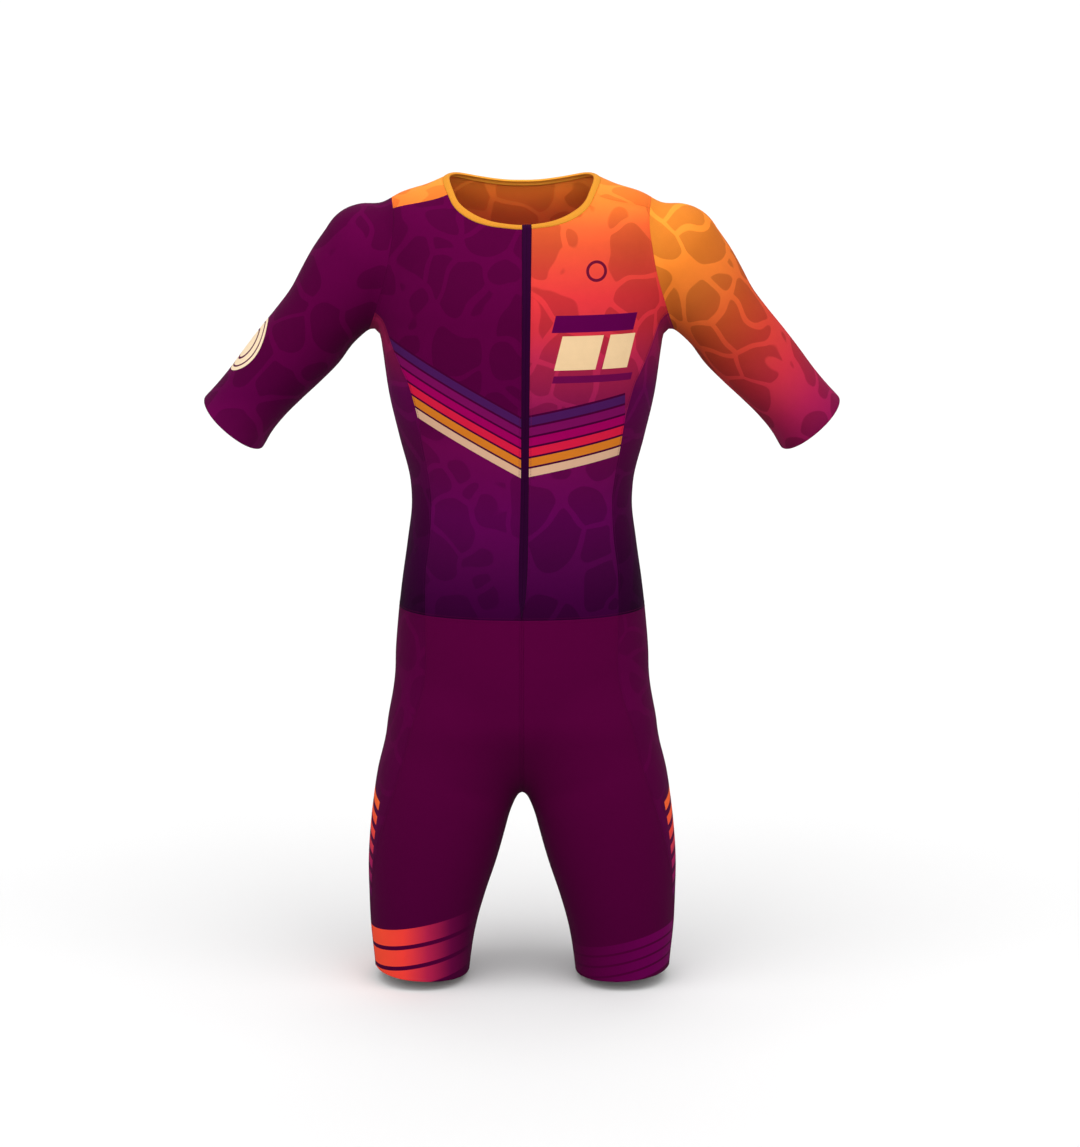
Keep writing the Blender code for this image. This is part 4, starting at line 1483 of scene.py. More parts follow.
SUNSET: Stops = (
    (0.000, "#FF9A3A"), (0.030, "#F87A30"), (0.055, "#E25E30"), (0.075, "#D65030"), (0.100, "#D44234"),
    (0.130, "#D43438"), (0.165, "#C82E3C"), (0.195, "#B42648"), (0.230, "#9E1E4C"), (0.262, "#80124C"),
    (0.300, "#6A084A"), (0.380, "#58034A"), (0.430, "#48033E"), (0.475, "#3A0034"), (0.500, "#32002E"),
)
TOP_PLUM: Stops = (
    (0.000, "#58003C"), (0.180, "#55003A"), (0.250, "#54003C"), (0.300, "#660548"), (0.380, "#5A034B"),
    (0.430, "#4A033F"), (0.475, "#3A0034"), (0.500, "#32002E"),
)
FLANK: Stops = (
    (0.000, "#A02048"), (0.185, "#8A1848"), (0.240, "#60064A"), (0.300, "#55053F"), (0.370, "#450038"),
    (0.430, "#34002E"), (0.500, "#240022"),
)
SLEEVE_SUNSET: Stops = (
    (0.000, "#FC9434"), (0.050, "#E47C2A"), (0.092, "#D46A2A"), (0.135, "#CA5029"), (0.175, "#C03A2E"),
    (0.220, "#B82C3A"), (0.270, "#9C1C46"), (0.305, "#821248"), (0.330, "#781048"),
)
# plum that darkens toward the hem: the darkening is painted shade
SHORTS_PLUM_PAINTED_SHADE: Stops = ((0.0, "#5C003C"), (0.55, "#540038"), (1.0, "#450030"))
SHORTS_FLANK: Stops = ((0.0, "#4E0036"), (0.60, "#54003A"), (1.0, "#4C0036"))
AMBER: Stops = ((0.0, "#DD9231"), (1.0, "#DD9231"))
NIGHT: Stops = ((0.0, "#2C002C"), (1.0, "#260026"))
HEM_WARM: Stops = (
    (0.0, "#FF5236"), (0.30, "#F44038"), (0.55, "#B02048"), (0.78, "#680840"), (0.95, "#4F0036")
)
HEM_TONAL: Stops = ((0.0, "#4F0036"), (0.5, "#5A0042"), (1.0, "#6C0052"))
LADDER_WARM: Stops = ((0.0, "#FF6E30"), (0.35, "#F44A3A"), (0.65, "#A81858"), (1.0, "#5C0050"))
CREAM = "#F6DDBA"
BADGE_PLUM = "#5A1040"
RING_PLUM = "#6A1030"
CHEST_GAP = "#450032"
CHEST_BANDS: Tuple[str, ...] = ("#4A1858", "#7A0C58", "#A0005A", "#D81C42", "#D87A24", "#DDB090")


class Canvas:
    """Where a finish's nodes go: the tree, the shared groups and the place on the object."""

    def __init__(self, tree: Tree, effects: Effects) -> None:
        """Start with the place on the object.

        Args:
            tree: The material's tree.
            effects: The shared node groups.
        """
        self.tree = tree
        self.effects = effects
        self.place = tree.add("ShaderNodeTexCoord").outputs["Object"]
        self.x, self.y, self.z = tree.split(self.place)

    def graded(self, ground: Stops, fall: Tuple[float, float, float], start: float, span: float) -> Socket:
        """A ground colour that changes along a line.

        Args:
            ground: Stops, with each place as a length along the line.
            fall: Direction of the line.
            start: Where the first stop is along that direction from the origin.
            span: Length of the whole change.

        Returns:
            The colour.
        """
        along = self.tree.math("SUBTRACT", self.tree.vector("DOT_PRODUCT", self.place, fall), start)
        stops = tuple((length / span, hue) for length, hue in ground)
        return self.tree.ramp(self.tree.math("DIVIDE", along, span), stops)

    def uneven(self, scale: float, amount: float) -> Socket:
        """A value that wavers about one, over the place on the object."""
        values = {"Place": self.place, "Scale": scale, "Amount": amount}
        return self.tree.group(self.effects.grain, values)["Value"]


@dataclass(frozen=True)
class BandSet:
    """Slanted bands below a line: the line's start and slope, and the bands' pitch, number and gap."""

    start: float
    slope: float
    pitch: float
    count: float
    gap: float = 0.20

    def lay(self, canvas: Canvas, run: Socket) -> bpy.types.bpy_prop_collection:
        """Lay the bands.

        Args:
            canvas: Where the nodes go.
            run: Place along the bands' line.

        Returns:
            The outputs Share, Band and Whole.
        """
        values = {"Run": run, "Rise": canvas.z, "Start": self.start, "Slope": self.slope}
        values.update({"Pitch": self.pitch, "Count": self.count, "Gap": self.gap})
        return canvas.tree.group(canvas.effects.bands, values)


BANDS: Dict[Artwork, BandSet] = {
    Artwork.CHEST_RIGHT: BandSet(-0.262, 0.56, 0.0118, float(len(CHEST_BANDS))),
    Artwork.CHEST_LEFT: BandSet(-0.262, 0.20, 0.0118, float(len(CHEST_BANDS))),
    Artwork.LADDER: BandSet(-0.700, 0.35, 0.0185, 7.0, gap=0.42),
    Artwork.WARM_HEM: BandSet(-0.868, 0.22, 0.0250, 3.0),
    Artwork.TONAL_HEM: BandSet(-0.892, 0.24, 0.0130, 4.0),
}
# where the hem's fade starts across the leg, and its colours
HEM_FADES: Dict[Artwork, Tuple[float, Stops]] = {
    Artwork.WARM_HEM: (-0.172, HEM_WARM),
    Artwork.TONAL_HEM: (0.060, HEM_TONAL),
}
# middle across, middle height, half width, half height, lean, colour
CHEST_BLOCKS: Tuple[Tuple[float, float, float, float, float, str], ...] = (
    (0.0815, -0.1580, 0.0455, 0.0095, 0.25, "#5C0048"),
    (0.0640, -0.1905, 0.0230, 0.0190, 0.25, "#F2CFA0"),
    (0.1085, -0.1905, 0.0140, 0.0190, 0.25, "#F2CFA0"),
    (0.0790, -0.2200, 0.0440, 0.0040, 0.25, "#6A0848"),
)
BLOCK_INPUTS = ("Middle run", "Middle rise", "Half width", "Half height", "Lean")


@dataclass(frozen=True)
class ClothFinish:
    """A printed stretch cloth: a ground that changes with height, a tonal print and artwork on top, with
    painted shade and painted light on its inner faces and in its knit.
    """

    name: str
    ground: Stops
    tone: float = 0.0
    fall: Tuple[float, float, float] = (0.0, 0.0, -1.0)
    start: float = 0.0
    span: float = 0.5
    artwork: Tuple[Artwork, ...] = ()
    pebble: float = 0.050
    channel: float = 0.060
    roughness: float = 0.66
    sheen: float = 0.01
    sheen_roughness: float = 0.45
    specular: float = 0.015
    grain: float = 0.10
    grain_scale: float = 90.0
    knit_depth: float = 0.00012
    knit_strength: float = 0.6
    # how much the knit's ridges are painted lighter and its grooves painted darker: painted light and shade
    # of the knit
    knit_painted_shading: float = 0.14
    # colour factor on the inner faces: below one it is painted shade, above one painted light
    painted_inside_light: float = 0.62
    shift: Tuple[float, float, float] = (0.0, 0.0, 0.0)
    chest_reach: float = 0.116
    ring: Tuple[float, float, float, float] = (0.0835, -0.101, 0.0100, 0.0016)
    badge_middle: Tuple[float, float, float] = (-0.316, 0.012, -0.192)
    badge_radius: float = 0.0370
    badge_rings: Tuple[Tuple[float, float], ...] = ((0.0315, 0.0011), (0.0210, 0.0015))
    ladder_half: float = 0.032
    ladder_back: float = 0.080
    ladder_lean: float = 0.10
    hem_fade: float = 0.115

    def material(self, effects: Effects) -> bpy.types.Material:
        """Build the material.

        Args:
            effects: The shared node groups.

        Returns:
            The material.
        """
        made, tree, shader = new_material(self.name)
        canvas = Canvas(tree, effects)
        colour = self._ground(canvas)
        for mark in self.artwork:
            colour = self._art(canvas, colour, mark)
        uneven = canvas.uneven(self.grain_scale, self.grain)
        inner = tree.add("ShaderNodeAttribute", attribute_name=INNER_NAME).outputs["Fac"]
        # painted shade or painted light on the inner faces, by the inside factor
        shade = tree.math("SUBTRACT", 1.0, tree.math("MULTIPLY", inner, 1.0 - self.painted_inside_light))
        cloth = tree.add("ShaderNodeUVMap", uv_map=UV_NAME).outputs[0]
        knit = tree.group(effects.knit, {"Cloth": cloth})["Height"]
        # painted light on the knit's ridges and painted shade in its grooves
        knit_shading = tree.math("MULTIPLY_ADD", knit, self.knit_painted_shading, 1.0 - self.knit_painted_shading / 2.0)
        shade = tree.math("MULTIPLY", shade, knit_shading)
        tree.feed(shader["Base Color"], tree.scaled(tree.scaled(colour, uneven), shade))
        tree.feed(shader["Roughness"], tree.math("MULTIPLY", uneven, self.roughness))
        shader["Sheen Weight"].default_value = self.sheen
        shader["Sheen Roughness"].default_value = self.sheen_roughness
        shader["Specular IOR Level"].default_value = self.specular
        bump = {"Height": knit, "Distance": self.knit_depth, "Strength": self.knit_strength}
        tree.feed(shader["Normal"], tree.add("ShaderNodeBump", bump).outputs[0])
        return made

    def _ground(self, canvas: Canvas) -> Socket:
        """The ground colour with its tonal print.

        Args:
            canvas: Where the nodes go.

        Returns:
            The colour.
        """
        tree = canvas.tree
        colour = canvas.graded(self.ground, self.fall, self.start, self.span)
        if self.tone <= 0.0:
            return colour
        values = {"Place": canvas.place, "Size": self.pebble, "Channel": self.channel, "Shift": self.shift}
        channel = tree.group(canvas.effects.pebbles, values)["Channel"]
        return tree.scaled(colour, tree.math("MULTIPLY_ADD", channel, self.tone, 1.0 - self.tone / 2.0))

    def _art(self, canvas: Canvas, colour: Socket, mark: Artwork) -> Socket:
        """One piece of artwork on the cloth.

        Args:
            canvas: Where the nodes go.
            colour: The cloth's colour so far.
            mark: Which piece of artwork.

        Returns:
            The colour.
        """
        tree, bands = canvas.tree, BANDS.get(mark)
        if mark is Artwork.BADGE:
            return self._badge(canvas, colour)
        if mark is Artwork.CHEST_RIGHT:
            return self._chest(canvas, colour, bands, 1.0)
        if mark is Artwork.CHEST_LEFT:
            inside = tree.math("LESS_THAN", tree.math("ABSOLUTE", canvas.x), self.chest_reach)
            return self._blocks(canvas, self._chest(canvas, colour, bands, inside))
        if mark is Artwork.LADDER:
            laid = bands.lay(canvas, canvas.y)
            back = tree.math("MULTIPLY_ADD", canvas.z, self.ladder_lean, self.ladder_back)
            centred = tree.math("ABSOLUTE", tree.math("ADD", canvas.y, back))
            inside = tree.math("LESS_THAN", centred, self.ladder_half)
            hues = tree.ramp(laid["Share"], LADDER_WARM)
            return tree.mix(tree.math("MULTIPLY", laid["Band"], inside), colour, hues)
        start, stops = HEM_FADES[mark]
        run = tree.math("SUBTRACT", canvas.x, start)
        hues = tree.ramp(tree.math("DIVIDE", run, self.hem_fade), stops)
        return tree.mix(bands.lay(canvas, run)["Band"], colour, hues)

    def _chest(self, canvas: Canvas, colour: Socket, bands: BandSet, inside: Value) -> Socket:
        """The six bands across one side of the chest.

        Args:
            canvas: Where the nodes go.
            colour: The cloth's colour so far.
            bands: The bands of this side.
            inside: 1 where the bands may lie.

        Returns:
            The colour.
        """
        tree = canvas.tree
        laid = bands.lay(canvas, tree.math("ABSOLUTE", canvas.x))
        stops = tuple((index / len(CHEST_BANDS), hue) for index, hue in enumerate(CHEST_BANDS))
        colour = tree.mix(tree.math("MULTIPLY", laid["Whole"], inside), colour, linear(CHEST_GAP))
        hues = tree.ramp(laid["Share"], stops, steps=True)
        return tree.mix(tree.math("MULTIPLY", laid["Band"], inside), colour, hues)

    def _blocks(self, canvas: Canvas, colour: Socket) -> Socket:
        """The plain blocks on the wearer's left chest, and the ring above them.

        Args:
            canvas: Where the nodes go.
            colour: The cloth's colour so far.

        Returns:
            The colour.
        """
        tree = canvas.tree
        for *sizes, hue in CHEST_BLOCKS:
            values = {"Run": canvas.x, "Rise": canvas.z, **dict(zip(BLOCK_INPUTS, sizes))}
            colour = tree.mix(tree.group(canvas.effects.block, values)["Mask"], colour, linear(hue))
        across, height, radius, half = self.ring
        squares = [
            tree.math("POWER", tree.math("SUBTRACT", part, middle), 2.0)
            for part, middle in ((canvas.x, across), (canvas.z, height))
        ]
        off = tree.math("SQRT", tree.math("ADD", *squares))
        return tree.mix(tree.near(off, radius, half), colour, linear(RING_PLUM))

    def _badge(self, canvas: Canvas, colour: Socket) -> Socket:
        """The pale disc with two rings.

        Args:
            canvas: Where the nodes go.
            colour: The cloth's colour so far.

        Returns:
            The colour.
        """
        tree = canvas.tree
        away = tree.vector("DISTANCE", canvas.place, self.badge_middle)
        disc = tree.math("LESS_THAN", away, self.badge_radius)
        rings = [tree.near(away, radius, half) for radius, half in self.badge_rings]
        colour = tree.mix(disc, colour, linear(CREAM))
        return tree.mix(tree.math("MAXIMUM", *rings), colour, linear(BADGE_PLUM))


@dataclass(frozen=True)
class Piece:
    """One finished piece: its shell, finish, the node it stands for and its flat cut."""

    shell: Shell
    finish: ClothFinish
    node: str
    cut: FlatCut

    def place(self, effects: Effects) -> bpy.types.Object:
        """Args:
            effects: The shared node groups.

        Returns:
            The object.
        """
        made = self.shell.build()
        made.data.materials.append(self.finish.material(effects))
        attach(made, "root")
        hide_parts(self.node)
        area = sum(face.area for face in made.data.polygons) / 2.0
        points = self.shell.surface.points
        wide = np.linalg.norm(np.diff(points, axis=1), axis=2).sum(axis=1).max()
        long = np.linalg.norm(np.diff(points, axis=0), axis=2).sum(axis=0).max()
        faces = len(made.data.polygons)
        LOG.info("%s: %d faces, %.4f m2, %.3f by %.3f m", made.name, faces, area, wide, long)
        return made


def backwards(edge: Edge) -> Edge:
    """The same edge read from its end."""
    return lambda fine: edge(fine)[::-1]


def mirrored_edge(edge: Edge) -> Edge:
    """The edge's mirror image."""
    return lambda fine: edge(fine) * MIRROR


def read(seam: Seam, division: Division) -> Edge:
    """One seam as an edge, read fine or coarse."""
    return lambda fine: seam.at(division) if fine else seam.coarse(division)


def joined(*edges: Edge) -> Edge:
    """Several edges joined end to end."""
    return lambda fine: chain(*[edge(fine) for edge in edges])


def doubled(edge: Edge) -> Edge:
    """The edge followed by its mirror image, run the other way."""
    return lambda fine: chain(edge(fine), across_centre(edge(fine)))


@dataclass
class Top:
    """The fronts, sides and back above the waist seam."""

    pattern: Pattern
    front_left_cut: FlatCut = FlatCut(0.168, 0.450, 0.0540)
    front_right_cut: FlatCut = FlatCut(0.177, 0.450, 0.0572)
    side_cut: FlatCut = FlatCut(0.150, 0.325, 0.0424)
    back_cut: FlatCut = FlatCut(0.400, 0.570, 0.1300)

    def pieces(self) -> List[Piece]:
        """The five panels.

        Returns:
            The pieces.
        """
        warm = ClothFinish("front_left_print", SUNSET, tone=0.32, artwork=(Artwork.CHEST_LEFT,))
        plum = ClothFinish("front_right_print", TOP_PLUM, tone=0.24, artwork=(Artwork.CHEST_RIGHT,))
        flank = ClothFinish("side_print", FLANK, tone=0.22, shift=(0.1, 0.3, 0.0))
        # the back's inner faces are painted lighter: painted light
        back = ClothFinish("back_print", SUNSET, tone=0.30, shift=(0.37, 0.2, 0.11), painted_inside_light=1.66)
        right_edge = self.pattern.zip_edge(-1.0)
        right_edge.curve = right_edge.curve * MIRROR
        left = self._front(self.pattern.zip_edge(1.0))
        right = self._front(right_edge).mirrored()
        side = self._side()
        return [
            Piece(Shell("front_left_panel", left), warm, "front_left", self.front_left_cut),
            Piece(Shell("front_right_panel", right), plum, "front_right", self.front_right_cut),
            Piece(Shell("side_left_panel", side), flank, "side_left", self.side_cut),
            Piece(Shell("side_right_panel", side.mirrored()), flank, "side_right", self.side_cut),
            Piece(Shell("back_panel", self._back()), back, "back", self.back_cut),
        ]

    def _front(self, edge: Seam) -> Surface:
        """A front panel, as if it were the left one.

        Args:
            edge: Its edge at the zip.

        Returns:
            The surface.
        """
        pattern = self.pattern
        neck = pattern.neck_front(edge.end)
        return Surface.between(
            pattern.form,
            FRONT_ACROSS,
            FRONT_UP,
            bottom=read(pattern.waist_front, FRONT_ACROSS),
            top=joined(read(neck, NECK_FRONT), read(pattern.shoulder, SHOULDER)),
            left=read(edge, FRONT_UP),
            right=joined(read(pattern.side_front, SIDE_UP), backwards(read(pattern.arm_front, ARM_FRONT))),
        )

    def _side(self) -> Surface:
        """The left side panel.

        Returns:
            The surface.
        """
        pattern = self.pattern
        return Surface.between(
            pattern.form,
            SIDE_ACROSS,
            SIDE_UP,
            bottom=read(pattern.waist_side, SIDE_ACROSS),
            top=read(pattern.arm_under, SIDE_ACROSS),
            left=read(pattern.side_front, SIDE_UP),
            right=read(pattern.side_back, SIDE_UP),
        )

    def _back(self) -> Surface:
        """The back panel, over both shoulders.

        Returns:
            The surface.
        """
        pattern = self.pattern
        side = joined(
            read(pattern.side_back, SIDE_UP),
            read(pattern.arm_back, ARM_BACK),
            backwards(read(pattern.shoulder, SHOULDER)),
        )
        return Surface.between(
            pattern.form,
            BACK_ACROSS,
            BACK_UP,
            bottom=doubled(read(pattern.waist_back, SHORTS_BACK_ACROSS)),
            top=doubled(read(pattern.neck_back, SHORTS_BACK_ACROSS)),
            left=side,
            right=mirrored_edge(side),
        )


@dataclass
class Sleeves:
    """The two short sleeves, each one piece from the armhole to a plain cuff."""

    pattern: Pattern
    arm_turn_kept: float = 0.4
    crowding: float = 1.15
    print_start: float = 0.060
    cut: FlatCut = FlatCut(0.410, 0.300, 0.0805)

    def pieces(self) -> List[Piece]:
        """The left and right sleeve.

        Returns:
            The pieces.
        """
        along = self.pattern.form.sleeve.along
        warm = ClothFinish(
            "sleeve_left_print",
            SLEEVE_SUNSET,
            tone=0.38,
            fall=tuple(along.tolist()),
            start=float(self.pattern.form.sleeve.start @ along) - self.print_start,
            shift=(0.21, 0.0, 0.4),
        )
        plum = ClothFinish(
            "sleeve_right_print", TOP_PLUM, tone=0.28, artwork=(Artwork.BADGE,), shift=(0.5, 0.1, 0.0)
        )
        left = self._surface()
        sides = (("left", left, warm), ("right", left.mirrored(), plum))
        return [
            Piece(Shell(f"sleeve_{side}_panel", surface, wraps=True), finish, f"sleeve_{side}", self.cut)
            for side, surface, finish in sides
        ]

    def _surface(self) -> Surface:
        """The left sleeve, as rings from the armhole to the cuff.

        Returns:
            The surface, with its columns closed to a ring.
        """
        pattern, form = self.pattern, self.pattern.form
        tube = form.sleeve
        arms = (
            (pattern.arm_front, ARM_FRONT), (pattern.arm_under, SIDE_ACROSS), (pattern.arm_back, ARM_BACK)
        )
        ring = chain(*[seam.at(division) for seam, division in arms])[:-1]
        away = ring - tube.start
        own = np.unwrap(np.arctan2(away @ tube.deep, away @ tube.wide))
        places = ARM_ROUND.places()[:-1] / ARM_ROUND.total
        turns = np.sign(own[-1] - own[0]) * 2.0 * np.pi * places
        kept = self.arm_turn_kept
        turn = kept * own + (1.0 - kept) * (turns + np.mean(own - turns))
        middle = tube.start + tube.along * form.sleeve_length
        directions = np.cos(turn)[:, None] * tube.wide + np.sin(turn)[:, None] * tube.deep
        cuff = form.cast(middle, directions, pattern.sleeve_reach)
        shares = (SLEEVE_DOWN.places() / SLEEVE_DOWN.total) ** self.crowding
        part = shares[:, None, None]
        grid = (1.0 - part) * ring[None] + part * cuff[None]
        for _ in range(3):
            grid[1:-1] = form.settle(grid[1:-1], 4)
            for index in range(grid.shape[1]):
                grid[:, index] = resample(grid[:, index], shares)
        grid[1:-1] = form.settle(grid[1:-1])
        return Surface(form, grid)


@dataclass
class Shorts:
    """The six panels below the waist seam."""

    pattern: Pattern
    front_cut: FlatCut = FlatCut(0.187, 0.442, 0.0655)
    side_cut: FlatCut = FlatCut(0.140, 0.398, 0.0454)
    back_cut: FlatCut = FlatCut(0.202, 0.464, 0.0684)

    def pieces(self) -> List[Piece]:
        """Front, side and back panels of both legs.

        Returns:
            The pieces.
        """
        places = (
            ("front", self._front(), self.front_cut),
            ("side", self._side(), self.side_cut),
            ("back", self._back(), self.back_cut),
        )
        made = []
        for side, hem in (("left", Artwork.TONAL_HEM), ("right", Artwork.WARM_HEM)):
            for place, surface, cut in places:
                node = f"shorts_{place}_{side}"
                finish = ClothFinish(node + "_print", SHORTS_PLUM_PAINTED_SHADE, span=1.0, artwork=(hem,), grain=0.06)
                if place == "side":
                    finish = ClothFinish(
                        node + "_print",
                        SHORTS_FLANK,
                        tone=0.15,
                        span=1.0,
                        artwork=(Artwork.LADDER, hem),
                        shift=(0.0, 0.0, 0.2),
                    )
                shown = surface if side == "left" else surface.mirrored()
                made.append(Piece(Shell(node + "_panel", shown), finish, node, cut))
        return made

    def _panel(self, across: Division, hem: Seam, waist: Seam, left: Edge, right: Edge) -> Surface:
        """One panel from the hem up to the waist seam.

        Args:
            across: Division of its hem.
            hem: The hem line.
            waist: The waist seam.
            left: Its left edge.
            right: Its right edge.

        Returns:
            The surface.
        """
        bottom, top = read(hem, across), read(waist, across)
        return Surface.between(self.pattern.form, across, SHORTS_UP, bottom, top, left, right)

    def _front(self) -> Surface:
        """The left front panel.

        Returns:
            The surface.
        """
        pattern = self.pattern
        left = joined(read(pattern.inseam, INSEAM), read(pattern.centre_front, CENTRE))
        right = read(pattern.shorts_front, SHORTS_UP)
        return self._panel(FRONT_ACROSS, pattern.hem_front, pattern.waist_front, left, right)

    def _side(self) -> Surface:
        """The left side panel.

        Returns:
            The surface.
        """
        pattern = self.pattern
        left, right = read(pattern.shorts_front, SHORTS_UP), read(pattern.shorts_back, SHORTS_UP)
        return self._panel(SIDE_ACROSS, pattern.hem_side, pattern.waist_side, left, right)

    def _back(self) -> Surface:
        """The left back panel.

        Returns:
            The surface.
        """
        pattern = self.pattern
        left = read(pattern.shorts_back, SHORTS_UP)
        right = joined(read(pattern.inseam, INSEAM), read(pattern.centre_back, CENTRE))
        return self._panel(SHORTS_BACK_ACROSS, pattern.hem_back, pattern.waist_back, left, right)


@dataclass
class NeckTrim:
    """The folded neckband and the zip strip."""

    pattern: Pattern
    band_widths: np.ndarray = field(default_factory=lambda: np.array([
        (-90.0, 0.0049),
        (-76.0, 0.0049),
        (-64.0, 0.0058),
        (-50.0, 0.0077),
        (-38.0, 0.0080),
        (0.0, 0.0080),
        (90.0, 0.0080),
    ]))
    band_wall: float = 0.0024
    band_swell: float = 0.00096
    band_turn: Tuple[float, float] = (0.12, 0.76)
    band_rows: int = 8
    zip_raise: float = 0.0004
    zip_foot: float = 0.25
    zip_places: Tuple[float, ...] = (0.0, 0.12, 0.30, 0.43, 0.475, 0.5, 0.525, 0.57, 0.70, 0.88, 1.0)
    zip_lifts_mm: Tuple[float, ...] = (0.0, 0.2, 0.3, 0.3, 0.0, -0.35, 0.0, 0.3, 0.3, 0.2, 0.0)
    band_cut: FlatCut = FlatCut(0.0105, 0.490, 0.0047)
    zip_cut: FlatCut = FlatCut(0.011, 0.450, 0.0047)

    def _line(self) -> np.ndarray:
        """The neckline from the zip round the back to the zip again.

        Returns:
            The neckline's points.
        """
        pattern = self.pattern
        left = pattern.neck_front(pattern.zip_edge(1.0).end)
        right = pattern.neck_front(pattern.zip_edge(-1.0).end * MIRROR)
        back = pattern.neck_back.at(SHORTS_BACK_ACROSS)
        first = chain(left.at(NECK_FRONT), back)
        second = chain(right.at(NECK_FRONT), back)
        return chain(first, across_centre(second))

    def _top_edge(self, line: np.ndarray) -> np.ndarray:
        """The neckband's top edge.

        Args:
            line: The neckline's points.

        Returns:
            One point for each point of the neckline.
        """
        sides = np.ones_like(line)
        sides[:, 0] = np.where(line[:, 0] >= 0.0, 1.0, -1.0)
        turned = line * sides
        angles = np.degrees(np.arctan2(turned[:, 1], turned[:, 0]))
        return self.pattern.neckline(angles, column(self.band_widths, 1, angles)) * sides

    def pieces(self) -> List[Piece]:
        """The neckband and the zip.

        Returns:
            The pieces.
        """
        form = self.pattern.form
        line = self._line()
        edge = self._top_edge(line)
        part = np.linspace(0.0, 1.0, self.band_rows + 1)
        band = (1.0 - part)[:, None, None] * line[None] + part[:, None, None] * edge[None]
        band[1:-1] = form.settle(band[1:-1], 4)
        first, share = self.band_turn
        swell = (self.band_swell * np.sin(np.pi * (first + share * part)))[:, None]
        # the neckband's inner faces are painted lighter: painted light
        amber = ClothFinish("neckband_cloth", AMBER, grain=0.05, painted_inside_light=2.1)
        band_shell = Shell(
            "neckband_binding",
            Surface(form, band),
            wall=self.band_wall,
            roll=(0.0001,),
            lifts=swell,
            creases=Creases(()),
        )
        night = ClothFinish("zip_cloth", NIGHT, span=1.0, grain=0.08, roughness=0.5, sheen=0.05)
        return [
            Piece(band_shell, amber, "neckband", self.band_cut),
            Piece(self._zip_shell(edge), night, "zip", self.zip_cut),
        ]

    def _zip_shell(self, band_edge: np.ndarray) -> Shell:
        """The zip strip: two flaps that meet over the coil.

        Args:
            band_edge: The neckband's top edge, which the strip reaches.

        Returns:
            The shell.
        """
        form = self.pattern.form
        sides = []
        for side, last in ((-1.0, band_edge[-1]), (1.0, band_edge[0])):
            line = np.vstack([self.pattern.zip_edge(side).at(FRONT_UP), last])
            line[0] = line[0] + (line[3] - line[0]) * self.zip_foot
            sides.append(line)
        right, left = sides
        across = np.array(self.zip_places)
        grid = (1.0 - across)[None, :, None] * right[:, None] + across[None, :, None] * left[:, None]
        grid[:, 1:-1] = form.settle(grid[:, 1:-1], 4)
        return Shell(
            "zip_strip",
            Surface(form, grid),
            raises=self.zip_raise,
            roll=(0.0002,),
            lifts=np.array(self.zip_lifts_mm)[None, :] * 0.001,
            creases=Creases(()),
        )


@dataclass(frozen=True)
class ThreadFinish:
    """Smooth sewing thread in the colour of the cloth it lies on."""

    name: str
    ground: Stops
    span: float = 0.5
    fall: Tuple[float, float, float] = (0.0, 0.0, -1.0)
    grain: float = 0.25
    grain_scale: float = 700.0
    brightness: float = 1.10
    roughness: float = 0.6
    specular: float = 0.05

    def material(self, effects: Effects) -> bpy.types.Material:
        """Build the material.

        Args:
            effects: The shared node groups.

        Returns:
            The material.
        """
        made, tree, shader = new_material(self.name)
        canvas = Canvas(tree, effects)
        colour = canvas.graded(self.ground, self.fall, 0.0, self.span)
        uneven = canvas.uneven(self.grain_scale, self.grain)
        factor = tree.math("MULTIPLY", uneven, self.brightness)
        tree.feed(shader["Base Color"], tree.scaled(colour, factor))
        tree.feed(shader["Roughness"], tree.math("MULTIPLY", uneven, self.roughness))
        shader["Specular IOR Level"].default_value = self.specular
        return made


